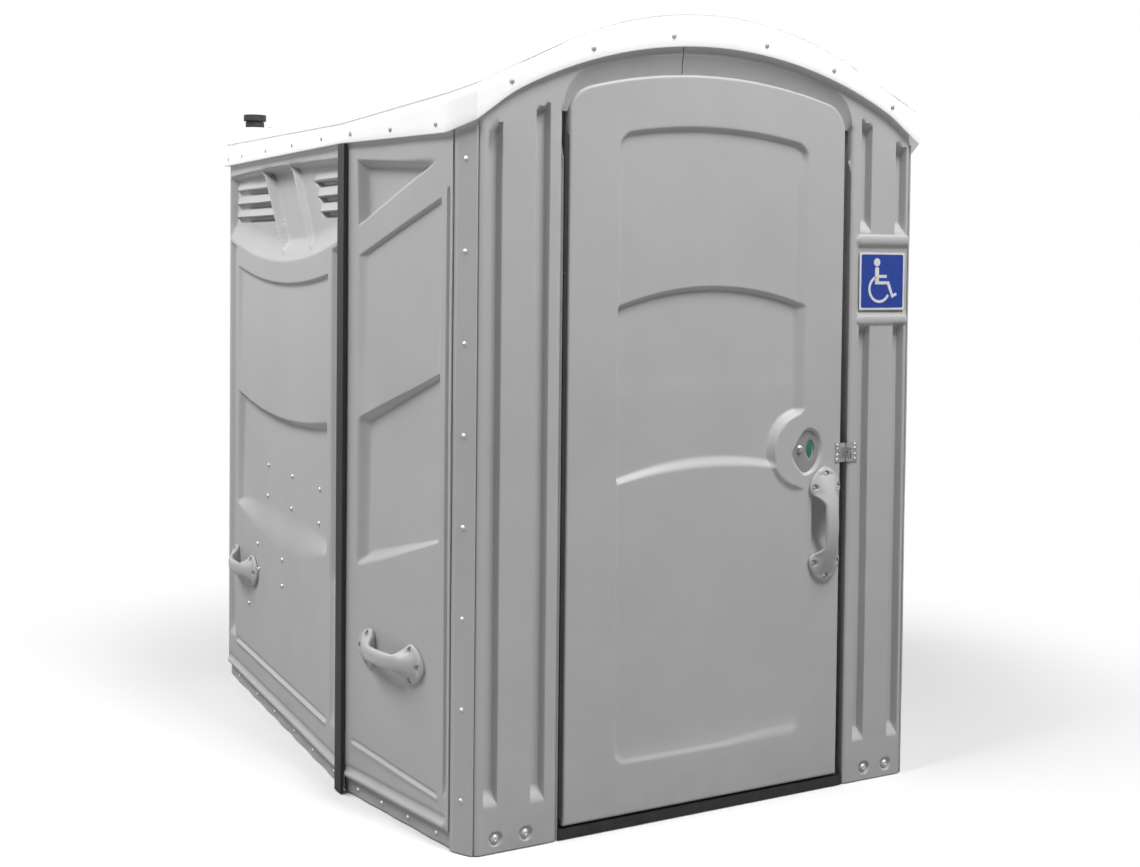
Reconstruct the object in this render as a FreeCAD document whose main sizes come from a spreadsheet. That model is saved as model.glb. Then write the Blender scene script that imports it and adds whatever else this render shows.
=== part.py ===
import FreeCAD, Part
import math
import os
import Sketcher
from FreeCAD import Placement, Rotation, Vector

# Wheelchair-size portable toilet cabin. Millimetres. +X right, +Y to the back, +Z up.
# The origin is the middle of the floor, on the ground. The door faces -Y.

doc = FreeCAD.newDocument("toilet_cabin")
sheet = doc.addObject("Spreadsheet::Sheet", "Sizes")


class Size:
    """A number together with the sheet expression that it comes from."""

    def __init__(self, value, text):
        self.value = float(value)
        self.text = text

    @staticmethod
    def of(number):
        return number if isinstance(number, Size) else Size(number, repr(number))

    def joined(self, other, sign, value):
        return Size(value, f"({self.text} {sign} {other.text})")

    def __add__(self, other):
        other = Size.of(other)
        return self.joined(other, "+", self.value + other.value)

    def __radd__(self, other):
        return Size.of(other) + self

    def __sub__(self, other):
        other = Size.of(other)
        return self.joined(other, "-", self.value - other.value)

    def __rsub__(self, other):
        return Size.of(other) - self

    def __mul__(self, other):
        other = Size.of(other)
        return self.joined(other, "*", self.value * other.value)

    def __rmul__(self, other):
        return Size.of(other) * self

    def __truediv__(self, other):
        other = Size.of(other)
        return self.joined(other, "/", self.value / other.value)

    def __neg__(self):
        return -1 * self


def root(size):
    return Size(math.sqrt(size.value), f"sqrt({size.text})")


def dimension(alias, value, note):
    row = dimension.rows = getattr(dimension, "rows", 0) + 1
    sheet.set(f"A{row}", note)
    sheet.set(f"B{row}", str(value))
    sheet.setAlias(f"B{row}", alias)
    return Size(value, f"Sizes.{alias}")


# Plan of the walls, from the middle of the floor
front_half = dimension("front_half", 735, "half width of the front face")
corner_half = dimension("corner_half", 780, "half width where the side panels start")
seam_half = dimension("seam_half", 880, "half width at the black seam strips, the widest place")
rear_half = dimension("rear_half", 835, "half width at the back")
front_face = dimension("front_face", -1010, "front face, along Y")
corner_face = dimension("corner_face", -936, "front edge of the side panels, along Y")
seam_face = dimension("seam_face", -377, "seam between the side panels, along Y")
rear_face = dimension("rear_face", 1010, "back face, along Y")

# Moulded sheet walls
sheet_wall = dimension("sheet_wall", 5, "thickness of the moulded sheet")
panel_depth = dimension("panel_depth", 30, "depth of a side or back panel")
frame_depth = dimension("frame_depth", 36, "depth of the front frame panels")
wall_foot = dimension("wall_foot", 3, "gap under the wall panels")
wall_seat = dimension("wall_seat", 49, "height at which the wall panels stand on the floor rim")
eaves = dimension("eaves", 1935, "lower edge of the roof along the sides")
wall_head = dimension("wall_head", 1965, "top of the side and back panels, inside the roof")
flange_depth = dimension("flange_depth", 12, "how far the bottom flange sits behind the panel face")
seam_gap = dimension("seam_gap", 6, "from the seam line to the edge of each panel")
field_recess = dimension("field_recess", 8, "depth of the shallow fields of the side and back panels")
lower_recess = dimension("lower_recess", 22, "depth of the field above the low shelf")

# Front frame and door opening
split_x = dimension("split_x", -104, "where the two front frame panels meet above the door")
frame_crown = dimension("frame_crown", 2243, "top of the front frame at the middle")
arch_radius = dimension("arch_radius", 1360, "arch radius of the front frame and the roof edge")
open_left = dimension("open_left", 485, "door opening, left of the middle")
open_right = dimension("open_right", 503, "door opening, right of the middle")
open_crown = dimension("open_crown", 2170, "top of the door opening at the middle")
open_radius = dimension("open_radius", 1500, "arch radius of the door opening")
open_corner = dimension("open_corner", 85, "corner radius of the door opening")
groove_depth = dimension("groove_depth", 20, "depth of the upright grooves")
groove_width = dimension("groove_width", 38, "width of the upright grooves")
groove_foot = dimension("groove_foot", 128, "bottom of the upright grooves")
stop_gap = dimension("stop_gap", 3, "gap between the frame's back and its door stop")
stop_wall = dimension("stop_wall", 5, "thickness of the door stop behind the door's edge")
stop_reach = dimension("stop_reach", 31, "how far the door stop reaches into the opening")
stop_inset = dimension("stop_inset", 0.5, "step between the frame's faces and its door stop")
bolt_height = dimension("bolt_height", 40, "height of the base bolts")
bolt_dish = dimension("bolt_dish", 19, "radius of the round recess at a base bolt")
dish_depth = dimension("dish_depth", 8, "depth of the round recess at a base bolt")

# Door
door_left = dimension("door_left", 467, "door edge, left of the middle")
door_right = dimension("door_right", 480, "door edge, right of the middle")
door_foot = dimension("door_foot", 36, "bottom of the door")
door_crown = dimension("door_crown", 2129, "top of the door at the middle")
door_radius = dimension("door_radius", 1600, "arch radius of the door top")
door_corner = dimension("door_corner", 65, "corner radius of the door top")
door_depth = dimension("door_depth", 34, "depth of the outer door skin")
inner_skin = dimension("inner_skin", 4, "thickness of the inner door skin")
field_left = dimension("field_left", 310, "recessed field of the door, left of the middle")
field_right = dimension("field_right", 335, "recessed field of the door, right of the middle")
field_foot = dimension("field_foot", 195, "bottom of the recessed field")
field_crown = dimension("field_crown", 1984, "top of the recessed field at the middle")
field_depth = dimension("field_depth", 12, "depth of the upper and lower field")
middle_depth = dimension("middle_depth", 20, "depth of the middle field")
upper_step = dimension("upper_step", 1470, "height of the upper arc step at its ends")
lower_step = dimension("lower_step", 985, "height of the lower arc step at its ends")
step_radius = dimension("step_radius", 960, "radius of the arc steps")

# Hinge
pin_x = dimension("pin_x", -476, "hinge axis, along X")
pin_y = dimension("pin_y", -1003, "hinge axis, along Y")
pin_radius = dimension("pin_radius", 3, "radius of the hinge pin")
knuckle_radius = dimension("knuckle_radius", 6.5, "outer radius of a hinge knuckle")
knuckle_play = dimension("knuckle_play", 0.1, "radial clearance on the hinge pin")
knuckle_gap = dimension("knuckle_gap", 1, "gap between two hinge knuckles")
leaf_wall = dimension("leaf_wall", 3, "thickness of a hinge leaf")
leaf_depth = dimension("leaf_depth", 28, "depth of a hinge leaf")
hinge_foot = dimension("hinge_foot", 60, "bottom of the hinge")
hinge_head = dimension("hinge_head", 1940, "top of the hinge")

# Latch
latch_x = dimension("latch_x", 328, "latch spindle, along X")
latch_z = dimension("latch_z", 1040, "latch spindle height")
boss_radius = dimension("boss_radius", 100, "radius of the latch boss")
dish_offset = dimension("dish_offset", 12, "middle of the latch boss, right of the spindle")
dish_radius = dimension("dish_radius", 60, "radius of the dish in the latch boss")
latch_dish = dimension("latch_dish", 10, "depth of the dish in the latch boss")
spindle_radius = dimension("spindle_radius", 8, "radius of the latch spindle")
spindle_play = dimension("spindle_play", 0.5, "radial clearance round the latch spindle")
disc_radius = dimension("disc_radius", 46, "radius of the vacant and engaged disc")
plate_wall = dimension("plate_wall", 2.5, "thickness of the latch bezel plate")
lever_length = dimension("lever_length", 215, "length of the inside latch lever")
lever_width = dimension("lever_width", 34, "width of the inside latch lever")
strike_wall = dimension("strike_wall", 2.5, "thickness of the strike plate on the door stop")
lever_wall = dimension("lever_wall", 12, "thickness of the inside latch lever")

# Handles
lobe_foot = dimension("lobe_foot", 88, "from a handle's middle to the near side of its end lobe")
lobe_side = dimension("lobe_side", 77.6, "half of that side before its corners are rounded")
lobe_tip = dimension("lobe_tip", 185, "from a handle's middle to the lobe's tip before it is rounded")
lobe_round = dimension("lobe_round", 20, "radius of a lobe's corners")
lobe_wall = dimension("lobe_wall", 14, "thickness of a lobe")
screw_seat = dimension("screw_seat", 6, "wall left under a handle's screw head")
grip_width = dimension("grip_width", 44, "width of a handle's grip")
grip_reach = dimension("grip_reach", 150, "from a handle's middle to where the grip meets the lobe's face")
grip_rise = dimension("grip_rise", 56, "height of the grip's outer face above the wall")
grip_foot = dimension("grip_foot", 98, "from a handle's middle to the end of the finger gap")
grip_straight = dimension("grip_straight", 100, "straight middle of the finger gap")
grip_gap = dimension("grip_gap", 33, "height of the finger gap")
grip_round = dimension("grip_round", 9, "radius of the grip's long edges")
pull_x = dimension("pull_x", 416, "door pull, along X")
pull_z = dimension("pull_z", 811, "middle of the door pull")
lift_height = dimension("lift_height", 470, "height of the lifting handles")

# Tank, seat and lid
tank_left = dimension("tank_left", -790, "left side of the waste tank")
tank_right = dimension("tank_right", 225, "right side of the waste tank")
tank_front = dimension("tank_front", 380, "front of the waste tank, along Y")
tank_back = dimension("tank_back", 968, "back of the waste tank, along Y")
tank_head = dimension("tank_head", 425, "top of the waste tank under its deck")
tank_wall = dimension("tank_wall", 6, "thickness of the tank and deck")
deck_head = dimension("deck_head", 437, "top of the tank deck")
seat_x = dimension("seat_x", -343, "middle of the seat, 457 mm from the side wall")
seat_y = dimension("seat_y", 590, "middle of the seat opening, along Y")
seat_length = dimension("seat_length", 430, "length of the seat")
seat_width = dimension("seat_width", 370, "width of the seat")
seat_wall = dimension("seat_wall", 20, "thickness of the seat")
seat_lift = dimension("seat_lift", 6, "height of the seat's underside above the deck")
bowl_length = dimension("bowl_length", 270, "length of the opening in the seat")
bowl_width = dimension("bowl_width", 215, "width of the opening in the seat")
lid_wall = dimension("lid_wall", 16, "thickness of the lid")
lid_gap = dimension("lid_gap", 3, "gap between the closed lid and the seat")
lid_open = dimension("lid_open", 100.5, "angle at which the open lid rests against the back grab bar")
hinge_y = dimension("hinge_y", 822, "seat hinge axis, along Y")
hinge_z = dimension("hinge_z", 453, "seat hinge axis height")
rod_radius = dimension("rod_radius", 5, "radius of the seat hinge rod")
rod_play = dimension("rod_play", 0.1, "radial clearance on the seat hinge rod")
eye_radius = dimension("eye_radius", 11, "outer radius of the eyes on the rod")

# Grab bars and paper holder
bar_radius = dimension("bar_radius", 16, "radius of the grab bars")
bar_height = dimension("bar_height", 845, "height of the grab bars")
bar_reach = dimension("bar_reach", 54, "grab bar's middle from the wall's inner face")
bar_post = dimension("bar_post", 11, "radius of the grab bar posts")
side_bar_length = dimension("side_bar_length", 1067, "length of the side grab bar")
back_bar_length = dimension("back_bar_length", 914, "length of the back grab bar")
roll_radius = dimension("roll_radius", 55, "outer radius of a paper roll")
roll_length = dimension("roll_length", 105, "length of a paper roll")
core_radius = dimension("core_radius", 19, "bore radius of a paper roll")
core_play = dimension("core_play", 0.6, "radial clearance of a roll on its spindle")

# Roof and vent
roof_crown = dimension("roof_crown", 2300, "top of the roof")
roof_radius = dimension("roof_radius", 1150, "arch radius of the roof")
roof_shoulder = dimension("roof_shoulder", 500, "half width of the round part of the roof")
skirt_crown = dimension("skirt_crown", 2207, "lower edge of the roof at the middle of the front")
overhang = dimension("overhang", 17, "how far the roof stands out past the walls")
vent_x = dimension("vent_x", -768, "vent pipe, along X")
vent_y = dimension("vent_y", 912, "vent pipe, along Y")
vent_radius = dimension("vent_radius", 34, "outer radius of the vent pipe")
vent_head = dimension("vent_head", 2098, "top of the vent pipe")
cap_radius = dimension("cap_radius", 41, "radius of the vent cap")
cap_height = dimension("cap_height", 26, "height of the vent cap")
boot_radius = dimension("boot_radius", 62, "radius of the roof's collar round the vent pipe")
boot_head = dimension("boot_head", 2076, "top of that collar")

# Sign
sign_side = dimension("sign_side", 176, "side of the access sign")
sign_x = dimension("sign_x", 627, "middle of the access sign, along X")
sign_z = dimension("sign_z", 1543, "middle height of the access sign")
sign_wall = dimension("sign_wall", 2, "thickness of the access sign")

# Floor
floor_head = dimension("floor_head", 28, "top of the floor")
floor_skin = dimension("floor_skin", 6, "thickness of the floor above its ribs")
floor_inset = dimension("floor_inset", 19, "floor edge behind the wall faces")
rim_width = dimension("rim_width", 20, "width of the raised rim that carries the walls")

doc.recompute()

nodes = {}


def bind(feature, path, size):
    feature.setExpression(path, Size.of(size).text)


def named(feature, label):
    feature.Label = label
    nodes[label] = feature
    return feature


def arc_edge(start, end, radius, side):
    """A circle's arc and which of its ends is the start. The centre lies left of the way for side 1."""
    chord_x = end[0] - start[0]
    chord_y = end[1] - start[1]
    chord = math.hypot(chord_x, chord_y)
    reach = math.sqrt(max(radius * radius - chord * chord / 4, 0))
    centre_x = (start[0] + end[0]) / 2 - side * reach * chord_y / chord
    centre_y = (start[1] + end[1]) / 2 + side * reach * chord_x / chord
    first = math.atan2(start[1] - centre_y, start[0] - centre_x)
    last = math.atan2(end[1] - centre_y, end[0] - centre_x)
    order = (1, 2)
    if side < 0:
        first, last = last, first
        order = (2, 1)
    if last < first:
        last += 2 * math.pi
    circle = Part.Circle(Vector(centre_x, centre_y, 0), Vector(0, 0, 1), radius)
    return Part.ArcOfCircle(circle, first, last), order


def add_loop(sketch, corners, arcs=None):
    """Closes a loop through the corners. arcs gives a radius and a side for the edge after a corner."""
    arcs = arcs or {}
    corners = [(Size.of(across), Size.of(up)) for across, up in corners]
    places = [(across.value, up.value) for across, up in corners]
    first = sketch.GeometryCount
    ends = []
    for index, place in enumerate(places):
        following = places[(index + 1) % len(places)]
        if index in arcs:
            radius, side = arcs[index]
            edge, order = arc_edge(place, following, Size.of(radius).value, side)
        else:
            edge = Part.LineSegment(Vector(*place, 0), Vector(*following, 0))
            order = (1, 2)
        sketch.addGeometry(edge, False)
        ends.append(order)
    rules = []
    for index in range(len(corners)):
        following = (index + 1) % len(corners)
        joint = ("Coincident", first + index, ends[index][1], first + following, ends[following][0])
        rules.append((Sketcher.Constraint(*joint), None))
    for index, corner in enumerate(corners):
        for kind, size in zip(("DistanceX", "DistanceY"), corner):
            rules.append((Sketcher.Constraint(kind, first + index, ends[index][0], size.value), size))
    for index, (radius, _) in arcs.items():
        size = Size.of(radius)
        rules.append((Sketcher.Constraint("Radius", first + index, size.value), size))
    numbers = sketch.addConstraint([rule for rule, _ in rules])
    for number, (_, size) in zip(numbers, rules):
        if size is not None:
            bind(sketch, f"Constraints[{number}]", size)


def add_circle(sketch, across, up, radius):
    across, up, radius = Size.of(across), Size.of(up), Size.of(radius)
    circle = Part.Circle(Vector(across.value, up.value, 0), Vector(0, 0, 1), radius.value)
    index = sketch.addGeometry(circle, False)
    for kind, size, ends in (("Radius", radius, ()), ("DistanceX", across, (3,)), ("DistanceY", up, (3,))):
        number = sketch.addConstraint(Sketcher.Constraint(kind, index, *ends, size.value))
        bind(sketch, f"Constraints[{number}]", size)


def new_sketch(body, role, offset=0):
    """A sketch on one of the body's own planes: XZ_Plane faces -Y, XY_Plane faces up."""
    sketch = body.newObject("Sketcher::SketchObject", body.Name + "_sketch")
    plane = next(feature for feature in body.Origin.OriginFeatures if feature.Role == role)
    sketch.AttachmentSupport = [(plane, "")]
    sketch.MapMode = "FlatFace"
    offset = Size.of(offset)
    sketch.AttachmentOffset = Placement(Vector(0, 0, offset.value), Rotation())
    if offset.value:
        bind(sketch, "AttachmentOffset.Base.z", offset)
    return sketch


def outline(body, role, corners, arcs=None, offset=0):
    sketch = new_sketch(body, role, offset)
    add_loop(sketch, corners, arcs)
    return sketch


def rectangle(low_x, low_z, high_x, high_z):
    return [(low_x, low_z), (high_x, low_z), (high_x, high_z), (low_x, high_z)]


def pad(body, sketch, length, backwards=False):
    feature = body.newObject("PartDesign::Pad", body.Name + "_pad")
    feature.Profile = sketch
    feature.Length = Size.of(length).value
    bind(feature, "Length", length)
    feature.Reversed = backwards
    return feature


def pocket(body, sketch, length, backwards=False):
    feature = body.newObject("PartDesign::Pocket", body.Name + "_pocket")
    feature.Profile = sketch
    feature.Length = Size.of(length).value
    bind(feature, "Length", length)
    feature.Reversed = backwards
    return feature


def hollow(body, feature, direction, wall):
    """Opens the largest flat face that looks along the direction and leaves a sheet of even thickness."""
    doc.recompute()
    faces = [
        (face.Area, index + 1)
        for index, face in enumerate(feature.Shape.Faces)
        if isinstance(face.Surface, Part.Plane) and (face.normalAt(0, 0) - direction).Length < 1e-6
    ]
    shell = body.newObject("PartDesign::Thickness", body.Name + "_shell")
    shell.Base = (feature, [f"Face{max(faces)[1]}"])
    shell.Value = wall.value
    bind(shell, "Value", wall)
    shell.Reversed = True
    doc.recompute()
    return shell


def round_edges(body, feature, radius, wanted):
    """Rounds the edges whose middle point the wanted test accepts."""
    doc.recompute()
    names = []
    for index, edge in enumerate(feature.Shape.Edges):
        middle = edge.valueAt((edge.FirstParameter + edge.LastParameter) / 2)
        if wanted(edge, middle):
            names.append(f"Edge{index + 1}")
    fillet = body.newObject("PartDesign::Fillet", body.Name + "_round")
    fillet.Base = (feature, names)
    fillet.Radius = Size.of(radius).value
    bind(fillet, "Radius", radius)
    doc.recompute()
    return fillet


def new_body(label, placement=None):
    body = named(doc.addObject("PartDesign::Body", label), label)
    if placement is not None:
        body.Placement = placement
    return body


def solid(kind, sizes, place=Vector(), rotation=Rotation(), label=None):
    """A Part primitive whose sizes are bound to the sheet."""
    feature = doc.addObject(f"Part::{kind}", label or kind)
    for path, size in sizes.items():
        setattr(feature, path, Size.of(size).value)
        bind(feature, path, size)
    feature.Placement = Placement(place, rotation)
    return feature


def at(x, y, z):
    return Vector(Size.of(x).value, Size.of(y).value, Size.of(z).value)


def box(low_x, low_y, low_z, length, width, height, label=None):
    sizes = {"Length": length, "Width": width, "Height": height}
    return solid("Box", sizes, at(low_x, low_y, low_z), label=label)


AXIS_TURNS = {
    "X": Rotation(Vector(0, 1, 0), 90),
    "Y": Rotation(Vector(1, 0, 0), -90),
    "Z": Rotation(),
}


def cylinder(x, y, z, radius, length, axis="Z", label=None):
    """A cylinder that starts at the point and runs along the positive axis."""
    sizes = {"Radius": radius, "Height": length}
    return solid("Cylinder", sizes, at(x, y, z), AXIS_TURNS[axis], label)


def fuse(label, pieces):
    feature = named(doc.addObject("Part::MultiFuse", label), label)
    feature.Shapes = pieces
    return feature


def fused(pieces):
    feature = doc.addObject("Part::MultiFuse", "whole")
    feature.Shapes = pieces
    return feature


def cut(base, tool, label=None):
    feature = doc.addObject("Part::Cut", label or "cut")
    feature.Base = base
    feature.Tool = tool
    if label:
        named(feature, label)
    return feature


def copies(label, pattern, placements):
    """Identical fasteners in one node: copies of the pattern's shape, one at each placement."""
    doc.recompute()
    shapes = []
    for placement in placements:
        shape = pattern.Shape.copy()
        shape.Placement = placement.multiply(pattern.Placement)
        shapes.append(shape)
    feature = named(doc.addObject("Part::Feature", label), label)
    feature.Shape = Part.makeCompound(shapes)
    return feature


SIDES = {"left": -1, "right": 1}


def wall_frame(side, start_x, start_y, end_x, end_y):
    """Frame of a side wall: X along the wall, Y inward from its outer face, origin at its front edge."""
    turn = math.degrees(math.atan2(end_y - start_y, end_x - start_x)) * side
    return Placement(Vector(side * start_x, start_y, 0), Rotation(Vector(0, 0, 1), turn))


def front_wall(side):
    return wall_frame(side, corner_half.value, corner_face.value, seam_half.value, seam_face.value)


def rear_wall(side):
    return wall_frame(side, seam_half.value, seam_face.value, rear_half.value, rear_face.value)


def wall_length(start_x, start_y, end_x, end_y):
    across = end_x - start_x
    along = end_y - start_y
    return root(across * across + along * along)


front_wall_length = wall_length(corner_half, corner_face, seam_half, seam_face)
rear_wall_length = wall_length(seam_half, seam_face, rear_half, rear_face)


def arch(crown, radius, across):
    """Height of an arch at a distance from the middle."""
    return crown - (radius - root(radius * radius - across * across))


# Floor pan: flat moulded floor with a raised rim that carries the walls, ribbed underneath
def make_floor_pan():
    body = new_body("floor_pan")
    edge_x = [corner_half - floor_inset, seam_half - floor_inset, rear_half - floor_inset]
    edge_y = [front_face + frame_depth + 2, seam_face, rear_face - floor_inset]
    sill_y = front_face + 6
    right = [(open_right - 3, sill_y), (open_right - 3, edge_y[0]), (front_half - 6, edge_y[0])]
    right += [(edge_x[0] - 4, corner_face), (edge_x[1], edge_y[1]), (edge_x[2], edge_y[2])]
    left = [(-across, along) for across, along in reversed(right[2:])]
    left += [(3 - open_left, edge_y[0]), (3 - open_left, sill_y)]
    plate = pad(body, outline(body, "XY_Plane", right + left), wall_seat - 1)
    inner_x = [across - rim_width for across in edge_x]
    inner = [(open_right - 3, sill_y), (open_right - 3, edge_y[0] + rim_width)]
    inner += [(inner_x[0], edge_y[0] + rim_width), (inner_x[0], corner_face), (inner_x[1], edge_y[1])]
    inner += [(inner_x[2], edge_y[2] - rim_width)]
    inner += [(-across, along) for across, along in reversed(inner[2:])]
    inner += [(3 - open_left, edge_y[0] + rim_width), (3 - open_left, sill_y)]
    sketch = outline(body, "XY_Plane", inner, offset=wall_seat - 1)
    pocket(body, sketch, wall_seat - 1 - floor_head)
    cells = new_sketch(body, "XY_Plane")
    columns = 4
    rows = 5
    pitch_x = (2 * front_half - 2 * rim_width) / columns
    pitch_y = (rear_face - front_face - 4 * frame_depth) / rows
    web = 14
    for column in range(columns):
        for row in range(rows):
            low_x = rim_width - front_half + column * pitch_x + web / 2
            low_y = front_face + 2 * frame_depth + row * pitch_y + web / 2
            add_loop(cells, rectangle(low_x, low_y, low_x + pitch_x - web, low_y + pitch_y - web))
    pocket(body, cells, floor_head - floor_skin, backwards=True)
    return plate


# Threshold: black strip on the floor's front edge, under the door
def make_threshold_sill():
    width = open_left + open_right - 8
    strip = box(4 - open_left, front_face, 2, width, 5.5, floor_head - 2, "strip")
    nose = box(4 - open_left, front_face, floor_head, width, 30, 3, "nose")
    fuse("threshold_sill", [strip, nose])


# Front frame: one L-shaped moulding each side, with upright grooves and the door opening's edge
def make_front_frame(name, side):
    body = new_body(f"front_frame_{name}", Placement(at(0, front_face, 0), Rotation()))
    opening = open_right if side > 0 else open_left
    meeting = split_x + 1.5 * side
    spring = arch(open_crown, open_radius, opening)
    corners = [
        (side * front_half, wall_foot),
        (side * front_half, arch(frame_crown, arch_radius, front_half)),
        (meeting, arch(frame_crown, arch_radius, meeting)),
        (meeting, arch(open_crown, open_radius, meeting)),
        (side * opening, spring),
        (side * opening, wall_foot),
    ]
    arcs = {1: (arch_radius, side), 3: (open_radius, -side)}
    shape = pad(body, outline(body, "XZ_Plane", corners, arcs), frame_depth, backwards=True)
    edge_x = side * opening.value
    edge_z = spring.value

    def opening_corner(edge, middle):
        upright = abs(edge.BoundBox.YLength - frame_depth.value) < 0.01
        return upright and abs(middle.x - edge_x) < 0.01 and abs(middle.z - edge_z) < 0.01

    shape = round_edges(body, shape, open_corner, opening_corner)
    outer = front_half - 46
    inner = front_half - 188
    grooves = [(outer, groove_foot, 1945), (inner, groove_foot, 2008)]
    if side > 0:
        outer = front_half - 40
        inner = front_half - 173
        sign_gap = sign_side / 2 + 48
        grooves = [(middle, groove_foot, sign_z - sign_gap) for middle in (outer, inner)]
        grooves += [(outer, sign_z + sign_gap, 1955), (inner, sign_z + sign_gap, 2018)]
    sketch = new_sketch(body, "XZ_Plane")
    for middle, low, high in grooves:
        half = groove_width / 2
        add_loop(sketch, rectangle(side * middle - half, low, side * middle + half, high))
    pocket(body, sketch, groove_depth)
    sketch = new_sketch(body, "XZ_Plane")
    for across in ((672, 581) if side < 0 else (588, 672)):
        add_circle(sketch, side * across, bolt_height, bolt_dish)
    shape = pocket(body, sketch, dish_depth)
    hollow(body, shape, Vector(0, 1, 0), sheet_wall)
    stop_face = frame_depth + stop_gap
    corners, arcs = opening_band(side, opening, stop_inset, sheet_wall - stop_inset)
    sketch = outline(body, "XZ_Plane", corners, arcs, offset=-frame_depth)
    pad(body, sketch, stop_gap + stop_wall, backwards=True)
    corners, arcs = opening_band(side, opening, -stop_reach, sheet_wall - stop_inset)
    sketch = outline(body, "XZ_Plane", corners, arcs, offset=-stop_face)
    pad(body, sketch, stop_wall, backwards=True)


def opening_band(side, opening, inside, outside):
    """A band along the door opening, between two distances from its edge. Distances inside are negative."""
    meeting = split_x + 1.5 * side
    near = opening + inside
    far = opening + outside
    near_radius = open_radius + inside
    far_radius = open_radius + outside
    corners = [
        (side * far, wall_seat),
        (side * far, arch(open_crown + outside, far_radius, far)),
        (meeting, arch(open_crown + outside, far_radius, meeting)),
        (meeting, arch(open_crown + inside, near_radius, meeting)),
        (side * near, arch(open_crown + inside, near_radius, near)),
        (side * near, wall_seat),
    ]
    return corners, {1: (far_radius, side), 3: (near_radius, -side)}


# Corner strip: flat strip that covers the gap between the front frame and the side panel
def make_corner_strip(name, side):
    body = new_body(f"corner_strip_{name}")
    run_x = corner_half - front_half
    run_y = corner_face - front_face
    run = root(run_x * run_x + run_y * run_y)
    back_x = sheet_wall * run_y / run
    back_y = sheet_wall * run_x / run
    start = (front_half + 5, front_face + 6)
    end = (corner_half - 2, corner_face - 3)
    corners = [start, end, (end[0] - back_x, end[1] + back_y), (start[0] - back_x, start[1] + back_y)]
    corners = [(side * across, along) for across, along in corners]
    pad(body, outline(body, "XY_Plane", corners, offset=wall_foot), wall_head - wall_foot)


def bottom_flange(body, side, start, end):
    """The panel's lower edge: a plain flange behind the face, which the base rivets hold to the floor."""
    low, high = sorted((side * start, side * end), key=lambda size: size.value)
    sketch = outline(body, "XZ_Plane", rectangle(low, wall_foot, high, wall_seat + 3), offset=-flange_depth)
    pad(body, sketch, sheet_wall, backwards=True)


# Front side panel: moulded tray with a triangular dish, sloping steps and an upright groove
def make_side_front(name, side):
    body = new_body(f"side_front_{name}", front_wall(side))
    end = front_wall_length - seam_gap
    face = outline(body, "XZ_Plane", rectangle(*sorted_pair(side, 0, end, wall_seat, wall_head)))
    pad(body, face, panel_depth, backwards=True)
    dish = [(side * 80, 1864), (side * 495, 1888), (side * 495, 1692)]
    pocket(body, outline(body, "XZ_Plane", dish), 16)
    upper = [(side * 55, 1296), (side * 55, 1755), (side * 486, 1600), (side * 486, 1137)]
    pocket(body, outline(body, "XZ_Plane", upper), field_recess)
    lower = [(side * 62, 815), (side * 58, 1278), (side * 486, 1120), (side * 486, 705)]
    pocket(body, outline(body, "XZ_Plane", lower), lower_recess)
    groove = rectangle(*sorted_pair(side, 14, 28, 140, 1790))
    shape = pocket(body, outline(body, "XZ_Plane", groove), 7)
    hollow(body, shape, Vector(0, 1, 0), sheet_wall)
    bottom_flange(body, side, Size.of(2), end)


def sorted_pair(side, near, far, low, high):
    """A rectangle's corners on either side wall, always from its lower left to its upper right."""
    near, far = Size.of(side * near), Size.of(side * far)
    if near.value > far.value:
        near, far = far, near
    return near, low, far, high


# Rear side panel: moulded tray with a louvred vent under the roof and a stepped field
def make_side_rear(name, side):
    body = new_body(f"side_rear_{name}", rear_wall(side))
    end = rear_wall_length - 2
    face = outline(body, "XZ_Plane", rectangle(*sorted_pair(side, seam_gap, end, wall_seat, wall_head)))
    pad(body, face, panel_depth, backwards=True)
    vent = [(side * 60, 1700), (side * 60, 1885), (side * 1330, 1885), (side * 1330, 1700)]
    vent_arc = {3: (2200, -side)}
    pocket(body, outline(body, "XZ_Plane", vent, vent_arc), 14)
    upper = [(side * 175, 1110), (side * 175, 1540), (side * 1230, 1540), (side * 1230, 1110)]
    upper_arcs = {1: (2400, side), 3: (2400, -side)}
    pocket(body, outline(body, "XZ_Plane", upper, upper_arcs), field_recess)
    lower = [(side * 195, 690), (side * 195, 1060), (side * 1235, 1060), (side * 1235, 690)]
    lower_arcs = {1: (2400, side)}
    shape = pocket(body, outline(body, "XZ_Plane", lower, lower_arcs), lower_recess)
    hollow(body, shape, Vector(0, 1, 0), sheet_wall)
    slots = new_sketch(body, "XZ_Plane")
    for height in (1742, 1790, 1838):
        for near, far in ((80, 330), (960, 1300)):
            add_loop(slots, rectangle(*sorted_pair(side, near, far, height, height + 12)))
    pocket(body, slots, panel_depth)
    bottom_flange(body, side, seam_gap, end)


# Back panel: moulded tray between the rear side panels, with two broad upright fields
def make_back_panel():
    facing_back = Rotation(Vector(0, 0, 1), 180)
    body = new_body("back_panel", Placement(at(0, rear_face, 0), facing_back))
    half = rear_half - panel_depth - 3
    top = arch(frame_crown, arch_radius, half)
    corners = [(-half, wall_seat), (half, wall_seat), (half, top), (-half, top)]
    face = outline(body, "XZ_Plane", corners, {2: (arch_radius, 1)})
    pad(body, face, panel_depth, backwards=True)
    fields = new_sketch(body, "XZ_Plane")
    for side in SIDES.values():
        add_loop(fields, rectangle(*sorted_pair(side, 60, half - 60, 150, 1620)))
    pocket(body, fields, field_recess)
    vent = outline(body, "XZ_Plane", rectangle(60 - half, 1700, half - 60, 1890))
    shape = pocket(body, vent, 12)
    hollow(body, shape, Vector(0, 1, 0), sheet_wall)
    low = outline(body, "XZ_Plane", rectangle(-half, wall_foot, half, wall_seat + 3), offset=-flange_depth)
    pad(body, low, sheet_wall, backwards=True)


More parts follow.
